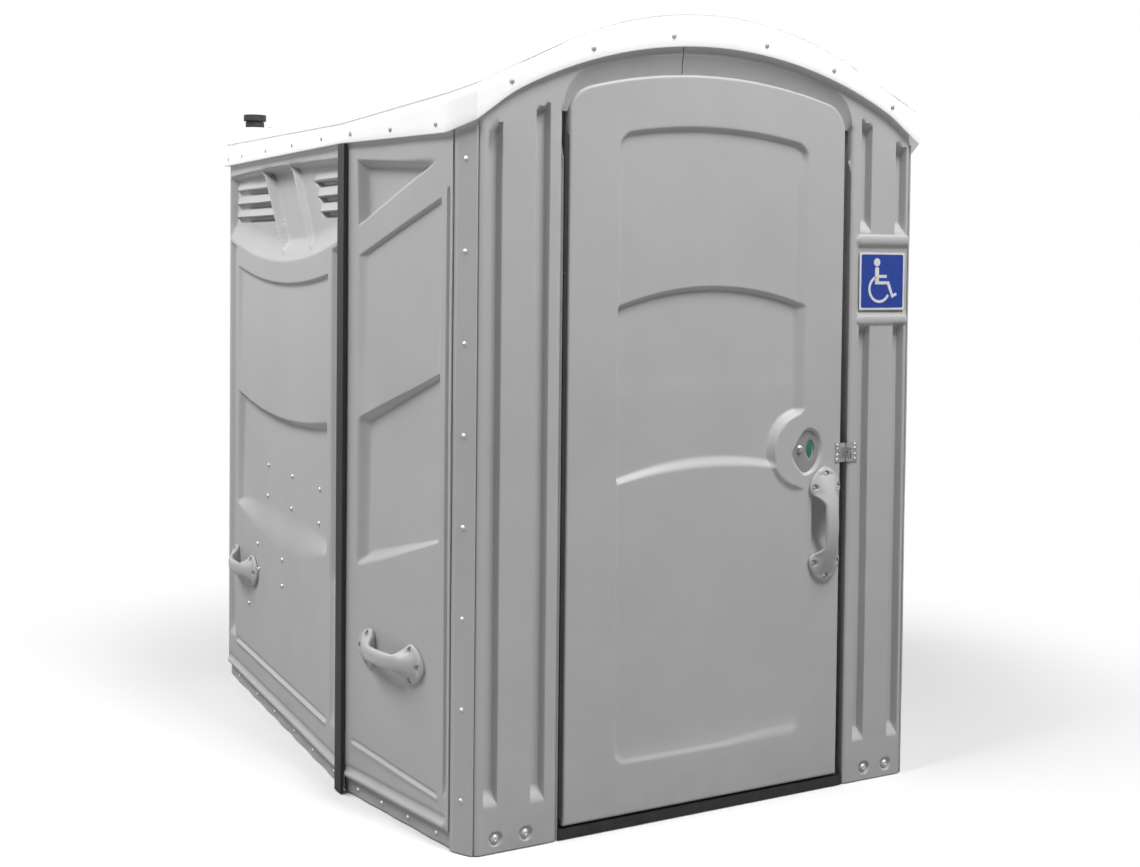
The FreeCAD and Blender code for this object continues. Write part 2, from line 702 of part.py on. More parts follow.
# Seam strip: black T-shaped strip pushed in between the two panels of a side
def make_seam_strip(name, side):
    lean = math.degrees(math.atan2(seam_half.value - rear_half.value, rear_face.value - seam_face.value))
    turn = Rotation(Vector(0, 0, 1), side * (90 + lean / 2 - 3))
    frame = Placement(at(side * seam_half, seam_face, 0), turn)
    body = new_body(f"seam_strip_{name}", frame)
    bar = rectangle(-24, -13, 24, -2.5)
    pad(body, outline(body, "XY_Plane", bar, offset=wall_foot), eaves - 1 - wall_foot)
    stem = rectangle(-2.2, -2.5, 2.2, panel_depth - 6)
    pad(body, outline(body, "XY_Plane", stem, offset=wall_seat), eaves - 1 - wall_seat)


# Roof: one moulded shell, arched from side to side, with a skirt that overlaps the walls
def make_roof():
    body = new_body("roof_shell")
    right = [(front_half + overhang, front_face - overhang), (corner_half + overhang, corner_face)]
    right += [(seam_half + overhang, seam_face), (rear_half + overhang, rear_face + overhang)]
    plan = right + [(-across, along) for across, along in reversed(right)]
    slab = outline(body, "XY_Plane", plan, offset=eaves)
    pad(body, slab, roof_crown - eaves)
    shoulder = arch(roof_crown, roof_radius, roof_shoulder)
    slope = roof_shoulder / root(roof_radius * roof_radius - roof_shoulder * roof_shoulder)
    outside = seam_half + 60
    edge = shoulder - slope * (outside - roof_shoulder)
    above = roof_crown + 50
    sky = [(-outside, edge), (-roof_shoulder, shoulder), (roof_shoulder, shoulder), (outside, edge)]
    sky += [(outside, above), (-outside, above)]
    sketch = outline(body, "XZ_Plane", sky, {1: (roof_radius, -1)}, offset=-(rear_face + 60))
    shape = pocket(body, sketch, rear_face - front_face + 120, backwards=True)
    hollow(body, shape, Vector(0, 0, -1), sheet_wall)
    low = eaves - 10
    reach = corner_half - 20
    spring = arch(skirt_crown, arch_radius, reach)
    arch_edge = [(-reach, low), (reach, low), (reach, spring), (-reach, spring)]
    sketch = outline(body, "XZ_Plane", arch_edge, {2: (arch_radius, 1)}, offset=-(rear_face + 60))
    pocket(body, sketch, rear_face - front_face + 120, backwards=True)
    collar = new_sketch(body, "XY_Plane", offset=boot_head)
    add_circle(collar, vent_x + 12, vent_y, boot_radius)
    pad(body, collar, boot_head - 2025, backwards=True)
    bore = new_sketch(body, "XY_Plane", offset=boot_head)
    add_circle(bore, vent_x, vent_y, vent_radius + 1)
    pocket(body, bore, boot_head - eaves)


# Vent: pipe from the tank deck up through the roof, with a cap that keeps rain out
def make_vent():
    length = vent_head - deck_head
    outer = cylinder(vent_x, vent_y, deck_head, vent_radius, length)
    bore = cylinder(vent_x, vent_y, deck_head, vent_radius - 3, length)
    cut(outer, bore, "vent_pipe")
    top = vent_head + 4
    cap = cylinder(vent_x, vent_y, top, cap_radius, cap_height - 4)
    plug = cylinder(vent_x, vent_y, top - 34, vent_radius - 3.4, 34)
    bore = cylinder(vent_x, vent_y, top - 34, vent_radius - 8, 30)
    windows = [
        box(vent_x - 60, vent_y - 9, top - 22, 120, 18, 22),
        box(vent_x - 9, vent_y - 60, top - 22, 18, 120, 22),
    ]
    cut(fused([cap, plug]), fused([bore] + windows), "vent_cap")


# Door: hollow outer skin with its stepped field, and a flat inner skin behind it
def door_outline(body, inset=0):
    spring_left = arch(door_crown, door_radius, door_left)
    spring_right = arch(door_crown, door_radius, door_right)
    corners = [(inset - door_left, door_foot + inset), (door_right - inset, door_foot + inset)]
    corners += [(door_right - inset, spring_right - inset), (inset - door_left, spring_left - inset)]
    return outline(body, "XZ_Plane", corners, {2: (door_radius - inset, 1)})


def door_middle_field(margin):
    """The deeper field between the two arc steps, or the same with a margin round it."""
    low = lower_step - margin
    high = upper_step + margin
    corners = [(-field_left - margin, low), (field_right + margin, low)]
    corners += [(field_right + margin, high), (-field_left - margin, high)]
    return corners, {0: (step_radius, -1), 2: (step_radius, 1)}


def make_door_outer_skin():
    body = new_body("door_outer_skin", Placement(at(0, front_face, 0), Rotation()))
    shape = pad(body, door_outline(body), door_depth, backwards=True)

    def top_corner(edge, middle):
        upright = abs(edge.BoundBox.YLength - door_depth.value) < 0.01
        return upright and middle.z > 1500

    shape = round_edges(body, shape, door_corner, top_corner)

    def hinge_edge(edge, middle):
        return middle.y < 0.01 and abs(middle.x + door_left.value) < 0.01 and edge.Length > 500

    round_edges(body, shape, 6, hinge_edge)
    spring_left = arch(field_crown, door_radius, field_left)
    spring_right = arch(field_crown, door_radius, field_right)
    field = [(-field_left, field_foot), (field_right, field_foot)]
    field += [(field_right, spring_right), (-field_left, spring_left)]
    shape = pocket(body, outline(body, "XZ_Plane", field, {2: (door_radius, 1)}), field_depth)
    hollow(body, shape, Vector(0, 1, 0), sheet_wall)
    behind = middle_depth - field_depth + sheet_wall
    backing = outline(body, "XZ_Plane", *door_middle_field(sheet_wall), offset=-field_depth)
    pad(body, backing, behind, backwards=True)
    pocket(body, outline(body, "XZ_Plane", *door_middle_field(0)), middle_depth)
    boss = new_sketch(body, "XZ_Plane")
    add_circle(boss, latch_x + dish_offset, latch_z, boss_radius)
    pad(body, boss, door_depth, backwards=True)
    dish = new_sketch(body, "XZ_Plane")
    add_circle(dish, latch_x + dish_offset, latch_z, dish_radius)
    pocket(body, dish, latch_dish)
    bore = new_sketch(body, "XZ_Plane")
    add_circle(bore, latch_x, latch_z, spindle_radius + spindle_play)
    pocket(body, bore, door_depth)
    grip = rectangle(pull_x - 50, pull_z - 100, pull_x + 42, pull_z + 100)
    pad(body, outline(body, "XZ_Plane", grip), door_depth, backwards=True)
    finger = rectangle(pull_x - 42, pull_z - 84, pull_x + 30, pull_z + 84)
    pocket(body, outline(body, "XZ_Plane", finger), 20)


def make_door_inner_skin():
    body = new_body("door_inner_skin", Placement(at(0, front_face + door_depth, 0), Rotation()))
    shape = pad(body, door_outline(body, 2), inner_skin, backwards=True)

    def top_corner(edge, middle):
        upright = abs(edge.BoundBox.YLength - inner_skin.value) < 0.01
        return upright and middle.z > 1500

    round_edges(body, shape, door_corner - 2, top_corner)
    bore = new_sketch(body, "XZ_Plane")
    add_circle(bore, latch_x, latch_z, spindle_radius + spindle_play)
    pocket(body, bore, inner_skin)


# Hinge: two full-length leaves whose knuckles take turns on one steel pin
KNUCKLE_SHARES = (0, 0.21, 0.4, 0.6, 0.8, 1)


def make_hinge_leaf(label, side, picks):
    """side -1 is the leaf on the jamb, 1 the leaf on the door."""
    length = hinge_head - hinge_foot
    wall = pin_x + side * 9
    low_x = wall if side < 0 else wall - leaf_wall
    plate = box(low_x, pin_y, hinge_foot, leaf_wall, leaf_depth, length)
    low_web = low_x if side < 0 else pin_x
    reach = 9
    pieces = [plate]
    openings = []
    for index in range(len(KNUCKLE_SHARES) - 1):
        low = hinge_foot + length * KNUCKLE_SHARES[index]
        tall = length * (KNUCKLE_SHARES[index + 1] - KNUCKLE_SHARES[index])
        if index % 2 == picks:
            low = low + knuckle_gap / 2
            tall = tall - knuckle_gap
            pieces.append(cylinder(pin_x, pin_y, low, knuckle_radius, tall))
            pieces.append(box(low_web, pin_y, low, reach, knuckle_radius, tall))
            openings.append(cylinder(pin_x, pin_y, low - 1, pin_radius + knuckle_play, tall + 2))
        else:
            low = low - knuckle_gap / 2
            openings.append(cylinder(pin_x, pin_y, low, knuckle_radius + 0.6, tall + knuckle_gap))
    cut(fused(pieces), fused(openings), label)


def make_hinge():
    make_hinge_leaf("jamb_hinge_leaf", -1, 0)
    make_hinge_leaf("door_hinge_leaf", 1, 1)
    length = hinge_head - hinge_foot - 2
    named(cylinder(pin_x, pin_y, hinge_foot + 1, pin_radius, length, label="hinge_pin"), "hinge_pin")


# Latch: spindle through the door, with the indicator disc outside and the lever inside
def make_latch():
    disc_y = front_face + latch_dish - 4
    plate_y = front_face + latch_dish - 9
    lever_y = front_face + frame_depth + stop_gap + stop_wall + strike_wall + 3
    disc = cylinder(latch_x, disc_y, latch_z, disc_radius, 2, "Y")
    hub_length = lever_y - disc_y
    hub = cylinder(latch_x, disc_y, latch_z, spindle_radius, hub_length, "Y")
    slot_head = cylinder(latch_x, plate_y - 1, latch_z, 5.5, 9, "Y")
    fuse("latch_spindle", [hub, slot_head])
    bored = cylinder(latch_x, disc_y - 1, latch_z, spindle_radius + 0.05, 4, "Y")
    cut(disc, bored, "latch_disc")
    lever = box(latch_x - lever_width / 2, lever_y, latch_z - 45, lever_width, lever_wall, lever_length + 45)
    knob = cylinder(latch_x, lever_y, latch_z, 30, 26, "Y")
    fuse("latch_lever", [lever, knob])
    plate = cylinder(latch_x + dish_offset, plate_y, latch_z, dish_radius - 1, plate_wall, "Y")
    stub = cylinder(latch_x, plate_y - 1, latch_z, 6, plate_wall + 2, "Y")
    window = box(latch_x + 21, plate_y - 1, latch_z - 26, 22, plate_wall + 2, 52)
    rim_y = plate_y + plate_wall
    rim = cylinder(latch_x + dish_offset, rim_y, latch_z, dish_radius - 1, 9 - plate_wall, "Y")
    room = cylinder(latch_x + dish_offset, rim_y - 1, latch_z, dish_radius - 3, 12, "Y")
    lobe = cylinder(latch_x, rim_y - 1, latch_z, disc_radius + 1, 12, "Y")
    cut(fused([plate, cut(rim, fused([room, lobe]))]), fused([stub, window]), "latch_bezel")
    strike_y = front_face + frame_depth + stop_gap + stop_wall
    width = stop_reach + sheet_wall - 2
    strike = box(open_right - stop_reach + 1, strike_y, latch_z - 60, width, strike_wall, 120, "latch_strike")
    named(strike, "latch_strike")


# Padlock hasp: one galvanised plate on the door and one on the jamb, each with an upstanding ear
def make_hasp_plate(label, side, low_x, width):
    plate = box(low_x, front_face - 2, latch_z - 46, width, 2, 58)
    ear_x = low_x + width - 3.5 if side < 0 else low_x
    ear = box(ear_x, front_face - 26, latch_z - 34, 3.5, 26, 34)
    eye = cylinder(ear_x - 2, front_face - 15, latch_z - 17, 5.5, 10, "X")
    cut(fused([plate, ear]), eye, label)


# Handle: an arched flat grip that spreads at each end into a three-cornered lobe with three screw holes
HANDLE_SCREWS = ((154, 0), (114, -43), (114, 43))


def make_handle(label, placement):
    body = new_body(label, placement)
    lobes = new_sketch(body, "XZ_Plane")
    for end in (1, -1):
        foot = (end * lobe_foot, -end * lobe_side)
        add_loop(lobes, [foot, (end * lobe_tip, 0 * lobe_side), (end * lobe_foot, end * lobe_side)])
    shape = pad(body, lobes, lobe_wall)

    def upright(edge, middle):
        return edge.BoundBox.YLength > 10

    round_edges(body, shape, lobe_round, upright)
    bent = grip_foot - grip_straight / 2
    gap_radius = (bent * bent + grip_gap * grip_gap) / (2 * grip_gap)
    sag = grip_rise - lobe_wall
    arch_over = (grip_reach * grip_reach + sag * sag) / (2 * sag)
    flat = grip_straight / 2
    corners = [(grip_foot, 0), (grip_reach, 0), (grip_reach, -lobe_wall), (-grip_reach, -lobe_wall)]
    corners += [(-grip_reach, 0), (-grip_foot, 0), (-flat, -grip_gap), (flat, -grip_gap)]
    arcs = {2: (arch_over, -1), 5: (gap_radius, 1), 7: (gap_radius, 1)}
    shape = pad(body, outline(body, "XY_Plane", corners, arcs, offset=-grip_width / 2), grip_width)

    def grip_edge(edge, middle):
        return middle.y < -40 and abs(abs(middle.z) - grip_width.value / 2) < 0.01

    round_edges(body, shape, grip_round, grip_edge)
    for end in (1, -1):
        holes = new_sketch(body, "XZ_Plane", offset=grip_rise)
        for along, across in HANDLE_SCREWS:
            add_circle(holes, end * along, across, 8)
        pocket(body, holes, grip_rise - screw_seat)


UPRIGHT = Rotation(Vector(0, 1, 0), 90)


LIFT_PLACES = (("front", front_wall, 290), ("rear", rear_wall, 1125))


def make_handles():
    make_handle("pull_handle", Placement(at(pull_x, front_face, pull_z), UPRIGHT))
    inward = Rotation(Vector(0, 0, 1), 180).multiply(UPRIGHT)
    inside = Placement(at(pull_x - 20, front_face + door_depth + inner_skin, pull_z), inward)
    make_handle("inside_pull", inside)
    for name, side in SIDES.items():
        for wall_name, frame, along in LIFT_PLACES:
            place = frame(side).multiply(Placement(at(side * along, 0, lift_height), Rotation()))
            make_handle(f"lift_handle_{wall_name}_{name}", place)


# Waste tank: open moulded bin with a bolted deck that holds the seat
def make_tank():
    body = new_body("waste_tank")
    left = rectangle(tank_left, tank_front, tank_right, tank_back)
    shape = pad(body, outline(body, "XY_Plane", left, offset=floor_head + 0.2), tank_head - floor_head - 0.2)

    def upright(edge, middle):
        return edge.BoundBox.ZLength > 100

    shape = round_edges(body, shape, 40, upright)
    hollow(body, shape, Vector(0, 0, 1), tank_wall)
    deck = new_body("tank_deck")
    plan = rectangle(tank_left - 3, tank_front - 10, tank_right + 10, tank_back + 4)
    shape = pad(deck, outline(deck, "XY_Plane", plan, offset=tank_head), deck_head - tank_head)

    def deck_corner(edge, middle):
        return edge.BoundBox.ZLength > 5 and edge.BoundBox.XLength < 0.01

    round_edges(deck, shape, 30, deck_corner)
    hole = new_sketch(deck, "XY_Plane", offset=deck_head)
    add_oval(hole, seat_x, seat_y, bowl_width - 10, bowl_length - 10)
    pocket(deck, hole, deck_head - tank_head)
    vent = new_sketch(deck, "XY_Plane", offset=deck_head)
    add_circle(vent, vent_x + 6, vent_y - 6, 22)
    pocket(deck, vent, deck_head - tank_head)


def add_oval(sketch, middle_x, middle_y, width, length):
    """A stadium, longer along Y."""
    half = width / 2
    straight = (length - width) / 2
    corners = [(middle_x + half, middle_y - straight), (middle_x + half, middle_y + straight)]
    corners += [(middle_x - half, middle_y + straight), (middle_x - half, middle_y - straight)]
    nearly_half = half * 1.02
    add_loop(sketch, corners, {1: (nearly_half, 1), 3: (nearly_half, 1)})


# Seat and lid: both turn on one rod behind them. The lid is stored open.
def make_seat():
    body = new_body("toilet_seat")
    low = deck_head + seat_lift
    front = seat_y - seat_length / 2
    plan = new_sketch(body, "XY_Plane", offset=low)
    half = seat_width / 2
    back = hinge_y - 24
    corners = [(seat_x + half, front + half), (seat_x + half - 40, back)]
    corners += [(seat_x - half + 40, back), (seat_x - half, front + half)]
    add_loop(plan, corners, {3: (half * 1.02, 1)})
    pad(body, plan, seat_wall)
    hole = new_sketch(body, "XY_Plane", offset=low + seat_wall)
    add_oval(hole, seat_x, seat_y, bowl_width, bowl_length)
    pocket(body, hole, seat_wall)
    for across in (-95, 65):
        arm = rectangle(seat_x + across, back - 2, seat_x + across + 30, hinge_y)
        pad(body, outline(body, "XY_Plane", arm, offset=low + 4), 12)
    hinge_eyes(body, (-95, 65))


def hinge_eyes(body, places):
    """Round eyes on the hinge rod, 30 mm long, which start at the places given from the seat's middle."""
    for across in places:
        eye = body.newObject("Sketcher::SketchObject", body.Name + "_eye")
        plane = next(feature for feature in body.Origin.OriginFeatures if feature.Role == "YZ_Plane")
        eye.AttachmentSupport = [(plane, "")]
        eye.MapMode = "FlatFace"
        start = seat_x + across
        eye.AttachmentOffset = Placement(Vector(0, 0, start.value), Rotation())
        bind(eye, "AttachmentOffset.Base.z", start)
        add_circle(eye, hinge_y, hinge_z, eye_radius)
        pad(body, eye, 30)
    bore = body.newObject("Sketcher::SketchObject", body.Name + "_bore")
    plane = next(feature for feature in body.Origin.OriginFeatures if feature.Role == "YZ_Plane")
    bore.AttachmentSupport = [(plane, "")]
    bore.MapMode = "FlatFace"
    start = seat_x - 200
    bore.AttachmentOffset = Placement(Vector(0, 0, start.value), Rotation())
    bind(bore, "AttachmentOffset.Base.z", start)
    add_circle(bore, hinge_y, hinge_z, rod_radius + rod_play)
    pocket(body, bore, 400, backwards=True)


def make_lid():
    axis = Placement(at(seat_x, hinge_y, hinge_z), Rotation())
    turn = Placement(Vector(), Rotation(Vector(1, 0, 0), -lid_open.value))
    body = new_body("toilet_lid", axis.multiply(turn).multiply(axis.inverse()))
    low = deck_head + seat_lift + seat_wall + lid_gap
    front = seat_y - seat_length / 2
    half = seat_width / 2
    back = hinge_y - 16
    plan = new_sketch(body, "XY_Plane", offset=low)
    corners = [(seat_x + half, front + half), (seat_x + half - 40, back)]
    corners += [(seat_x - half + 40, back), (seat_x - half, front + half)]
    add_loop(plan, corners, {3: (half * 1.02, 1)})
    pad(body, plan, lid_wall)
    for across in (-132, 102):
        arm = rectangle(seat_x + across, back - 10, seat_x + across + 30, hinge_y + 4)
        pad(body, outline(body, "XY_Plane", arm, offset=low), 6)
        neck = rectangle(seat_x + across, hinge_y - 6, seat_x + across + 30, hinge_y + 4)
        pad(body, outline(body, "XY_Plane", neck, offset=hinge_z + 6), low - hinge_z)
    hinge_eyes(body, (-132, 102))


def make_seat_hinge():
    rod = cylinder(seat_x - 150, hinge_y, hinge_z, rod_radius, 300, "X", "seat_hinge_rod")
    named(rod, "seat_hinge_rod")
    posts = []
    for across in (-50, 20):
        post = box(seat_x + across, hinge_y - 12, deck_head, 30, 24, hinge_z - deck_head + 9)
        posts.append(post)
    bore = cylinder(seat_x - 150, hinge_y, hinge_z, rod_radius + 0.02, 300, "X")
    cut(fused(posts), bore, "seat_hinge_posts")


# Grab bar: straight round bar on posts with wall plates
def make_grab_bar(label, frame, wall, length, posts):
    bar = {"Radius": bar_radius, "Height": length}
    pieces = [solid("Cylinder", bar, at(-length / 2, wall + bar_reach, 0), AXIS_TURNS["X"])]
    for along in posts:
        foot = at(along, wall, 0)
        post = {"Radius": bar_post, "Height": bar_reach}
        pieces.append(solid("Cylinder", post, foot, AXIS_TURNS["Y"]))
        plate = {"Length": 60, "Width": 8, "Height": 150}
        pieces.append(solid("Box", plate, foot + Vector(-30, 0, -110)))
    feature = fuse(label, pieces)
    feature.Placement = frame
    return feature


def side_bar_frame():
    return rear_wall(-1).multiply(Placement(Vector(-594, 0, bar_height.value), Rotation()))


def make_grab_bars():
    side_wall = lower_recess + sheet_wall
    make_grab_bar("grab_bar_side", side_bar_frame(), side_wall, side_bar_length, (-301, 0, 301))
    back = Placement(at(seat_x + 100, rear_face, bar_height), Rotation(Vector(0, 0, 1), 180))
    make_grab_bar("grab_bar_back", back, field_recess + sheet_wall, back_bar_length, (-420, 0, 420))


# Paper holder: bracket on the left wall with one spindle through two rolls
def paper_frame():
    return rear_wall(-1).multiply(Placement(Vector(-804, 0, 535), Rotation()))


def make_paper():
    frame = paper_frame()
    wall = sheet_wall
    reach = wall + roll_radius + 16
    plate = solid("Box", {"Length": 366, "Width": 6, "Height": 170}, at(-183, wall, -85))
    pieces = [plate]
    for along in (-183, -4, 175):
        arm = {"Length": 8, "Width": reach + 26 - wall, "Height": 60}
        pieces.append(solid("Box", arm, at(along, wall, -30)))
    rod = {"Radius": core_radius - core_play, "Height": 365}
    bore = {"Radius": core_radius - core_play + 0.05, "Height": 400}
    passage = solid("Cylinder", bore, at(-200, reach, 0), AXIS_TURNS["X"])
    bracket = cut(fused(pieces), passage, "paper_holder")
    bracket.Placement = frame
    spindle = solid("Cylinder", rod, at(-182.5, reach, 0), AXIS_TURNS["X"], "paper_spindle")
    spindle.Placement = frame.multiply(spindle.Placement)
    named(spindle, "paper_spindle")
    for label, along in (("paper_roll_rear", -148), ("paper_roll_front", 32)):
        paper = {"Radius": roll_radius, "Height": roll_length}
        roll = solid("Cylinder", paper, at(along, reach, 0), AXIS_TURNS["X"])
        core = {"Radius": core_radius, "Height": roll_length + 4}
        bore = solid("Cylinder", core, at(along - 2, reach, 0), AXIS_TURNS["X"])
        cut(roll, bore, label).Placement = frame


# Access sign: thin square plate on the right frame panel
def make_sign():
    low_x = sign_x - sign_side / 2
    low_z = sign_z - sign_side / 2
    sign = box(low_x, front_face - sign_wall, low_z, sign_side, sign_wall, sign_side, "access_sign")
    named(sign, "access_sign")


# Fasteners: each kind is one turned shape, copied to its places
def fastener(shank_radius, shank_length, head_radius, head_height):
    """Head outside the wall face, shank along +Y into the wall, origin on the face."""
    shank = solid("Cylinder", {"Radius": shank_radius, "Height": shank_length}, Vector(), AXIS_TURNS["Y"])
    head_sizes = {"Radius1": head_radius, "Radius2": head_radius * 0.55, "Height": head_height}
    head = solid("Cone", head_sizes, Vector(), Rotation(Vector(1, 0, 0), 90))
    return fused([shank, head])


def strip_frame(side):
    run_x = (corner_half - front_half).value
    run_y = (corner_face - front_face).value
    turn = math.degrees(math.atan2(run_y, run_x)) * side
    middle = at(side * (front_half + corner_half + 2) / 2, (front_face + corner_face + 3) / 2, 0)
    return Placement(middle, Rotation(Vector(0, 0, 1), turn))


def moved(x, y, z):
    return Placement(at(x, y, z), Rotation())


def make_fasteners():
    rivet = fastener(2.4, sheet_wall, 6.5, 3)
    screw = fastener(2.2, 4.5, 6, 3)
    bolt = fastener(5, 8, 12, 6)
    facing_back = Rotation(Vector(0, 0, 1), 180)
    spots = []
    for side in SIDES.values():
        for step in range(8):
            spots.append(strip_frame(side).multiply(moved(0, 0, 1864 - 245.5 * step)))
    copies("corner_rivets", rivet, spots)
    spots = []
    for side in SIDES.values():
        for along in (75, 219, 359, 492):
            spots.append(front_wall(side).multiply(moved(side * along, flange_depth, 24)))
        for along in (113, 328, 542, 777, 1005, 1260):
            spots.append(rear_wall(side).multiply(moved(side * along, flange_depth, 24)))
    back = Placement(at(0, rear_face, 0), facing_back)
    for along in (-690, -345, 0, 345, 690):
        spots.append(back.multiply(moved(along, flange_depth, 24)))
    copies("base_rivets", rivet, spots)
    spots = [moved(across, front_face + dish_depth, bolt_height) for across in (-672, -581, 588, 672)]
    copies("base_bolts", bolt, spots)
    spots = []
    for across in (-651, -404, -147, 172, 418, 644):
        height = arch(skirt_crown, arch_radius, Size.of(across)) + 30
        spots.append(moved(across, front_face - overhang, height))
        spots.append(Placement(at(across, rear_face + overhang, height), facing_back))
    for side in SIDES.values():
        for along in (60, 290, 510):
            spots.append(front_wall(side).multiply(moved(side * along, -0.985 * overhang, 1960)))
        for along in (180, 500, 820, 1140, 1340):
            spots.append(rear_wall(side).multiply(moved(side * along, -overhang, 1960)))
    copies("roof_screws", screw, spots)
    spots = []
    for along in (893, 599, 293):
        for height in (865, 757):
            spots.append(rear_wall(-1).multiply(moved(-along, lower_recess, height)))
    for along, height in ((962, 577), (647, 577), (948, 489), (647, 489), (1082, 340)):
        spots.append(rear_wall(-1).multiply(moved(-along, 0, height)))
    copies("wall_bolts", fastener(3, sheet_wall, 7, 3), spots)
    lift_spots = []
    pull_spots = []
    for end in (-1, 1):
        for outward, across in HANDLE_SCREWS:
            pull_spots.append(moved(pull_x + across, front_face - screw_seat, pull_z + end * outward))
            for side in SIDES.values():
                for _, frame, along in LIFT_PLACES:
                    place = moved(side * along + end * outward, -screw_seat, lift_height + across)
                    lift_spots.append(frame(side).multiply(place))
    head = fastener(2.5, screw_seat + sheet_wall - 0.5, 5, 1.5)
    copies("lift_handle_screws", head, lift_spots)
    copies("pull_handle_screws", head, pull_spots)
    heights = (-38, -24, -6, 6)
    pin = fastener(2, 6.5, 4, 2)
    copies("hasp_door_rivets", pin, [moved(464, front_face - 2, latch_z + up) for up in heights])
    copies("hasp_jamb_rivets", pin, [moved(531, front_face - 2, latch_z + up) for up in heights])


make_floor_pan()
make_threshold_sill()
for name, side in SIDES.items():
    make_front_frame(name, side)
    make_corner_strip(name, side)
    make_side_front(name, side)
    make_side_rear(name, side)
    make_seam_strip(name, side)
make_back_panel()
make_roof()
make_vent()
make_door_outer_skin()
make_door_inner_skin()
make_hinge()
make_latch()
make_hasp_plate("hasp_door_plate", -1, 456, Size.of(38))
make_hasp_plate("hasp_jamb_plate", 1, 497, Size.of(44))
make_handles()
make_tank()
make_seat()
make_lid()
make_seat_hinge()
make_grab_bars()
make_paper()
make_sign()
make_fasteners()
doc.recompute()

for feature in doc.Objects:
    if "Invalid" in feature.State or "Error" in feature.State:
        raise RuntimeError(f"{feature.Name} of {feature.Label} did not build: {feature.State}")
    if feature.TypeId == "PartDesign::Pocket" and feature.Shape.Volume >= feature.BaseFeature.Shape.Volume:
        raise RuntimeError(f"{feature.Name} cuts nothing")
for label, feature in nodes.items():
    if feature.Shape.isNull() or not feature.Shape.isValid() or not feature.Shape.Solids:
        raise RuntimeError(f"{label} has no valid solid")

os.makedirs("parts", exist_ok=True)
for label, feature in nodes.items():
    feature.Shape.exportStep(f"parts/{label}.step")
    print(f"{label}: {len(feature.Shape.Solids)} solid(s), {feature.Shape.Volume / 1e6:.3f} litres")
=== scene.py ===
import math

import bpy
import numpy as np
from mathutils import Matrix, Vector


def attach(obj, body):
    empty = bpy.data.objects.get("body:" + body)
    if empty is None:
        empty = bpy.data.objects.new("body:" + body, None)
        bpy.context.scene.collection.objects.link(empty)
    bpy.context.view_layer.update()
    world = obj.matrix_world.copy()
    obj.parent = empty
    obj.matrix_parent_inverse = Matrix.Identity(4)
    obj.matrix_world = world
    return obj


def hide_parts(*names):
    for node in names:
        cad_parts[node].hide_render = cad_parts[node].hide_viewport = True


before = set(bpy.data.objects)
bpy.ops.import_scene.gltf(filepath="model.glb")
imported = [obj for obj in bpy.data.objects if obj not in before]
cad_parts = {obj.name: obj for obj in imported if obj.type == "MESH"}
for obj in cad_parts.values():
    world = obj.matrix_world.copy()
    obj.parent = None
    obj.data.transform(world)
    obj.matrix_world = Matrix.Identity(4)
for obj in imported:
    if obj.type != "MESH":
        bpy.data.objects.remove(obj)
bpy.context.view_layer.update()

# Floor pan. A thick rotationally moulded tray of dark grey polyethylene, ribbed underneath, with a raised rim
# that the walls are bolted and riveted to. Its top has a fine non-slip grain and scuffs from boots and wheels.
floor_grey = (0.16, 0.163, 0.165)


class Value:
    """A number or colour inside a material. Arithmetic on it adds Math nodes."""

    def __init__(self, finish, socket):
        self.finish = finish
        self.socket = socket

    def math(self, operation, first, second):
        return self.finish.node("Math", {"operation": operation}, {0: first, 1: second})

    def __add__(self, other):
        return self.math("ADD", self, other)

    def __radd__(self, other):
        return self.math("ADD", other, self)

    def __sub__(self, other):
        return self.math("SUBTRACT", self, other)

    def __rsub__(self, other):
        return self.math("SUBTRACT", other, self)

    def __mul__(self, other):
        return self.math("MULTIPLY", self, other)

    def __rmul__(self, other):
        return self.math("MULTIPLY", other, self)

    def between(self, low, high):
        """0 at low, 1 at high, eased in between."""
        settings = {"interpolation_type": "SMOOTHSTEP"}
        return self.finish.node("MapRange", settings, {"Value": self, "From Min": low, "From Max": high})


class Finish:
    """A material. Its fixed sockets are set here, and what changes over the surface is fed in afterwards."""

    def __init__(self, name, **fixed):
        self.material = bpy.data.materials.new(name)
        self.material.use_nodes = True
        self.tree = self.material.node_tree
        self.shader = self.tree.nodes["Principled BSDF"]
        for socket, value in fixed.items():
            self.shader.inputs[socket.replace("_", " ")].default_value = value

    def node(self, kind, settings=None, inputs=None, output=0):
        node = self.tree.nodes.new("ShaderNode" + kind)
        for name, value in (settings or {}).items():
            setattr(node, name, value)
        for socket, value in (inputs or {}).items():
            if isinstance(value, Value):
                self.tree.links.new(value.socket, node.inputs[socket])
            else:
                node.inputs[socket].default_value = value
        return Value(self, node.outputs[output])

    def place(self):
        return self.node("TexCoord", output="Object")

    def stretched(self, across, along, up):
        settings = {"operation": "MULTIPLY"}
        return self.node("VectorMath", settings, {0: self.place(), 1: (across, along, up)})

    def grain(self, scale, detail=2.0, roughness=0.5, at=None):
        """Noise between 0 and 1. A scale of 1000 has spots a millimetre across."""
        inputs = {"Vector": at or self.place(), "Scale": scale, "Detail": detail, "Roughness": roughness}
        return self.node("TexNoise", None, inputs)

    def height(self):
        return self.node("SeparateXYZ", None, {0: self.place()}, "Z")

    def blend(self, share, first, second):
        """first where share is 0, second where it is 1."""
        return self.node("Mix", {"data_type": "RGBA"}, {0: share, 6: first, 7: second}, 2)

    def feed(self, socket, value):
        self.tree.links.new(value.socket, self.shader.inputs[socket])

    def relief(self, height, depth):
        """Bumps that stand up by the depth, in metres, where height is 1."""
        bump = self.node("Bump", None, {"Height": height, "Distance": depth, "Strength": 1.0})
        self.feed("Normal", bump)


def shade(colour, factor):
    return tuple(min(channel * factor, 1.0) for channel in colour) + (1.0,)


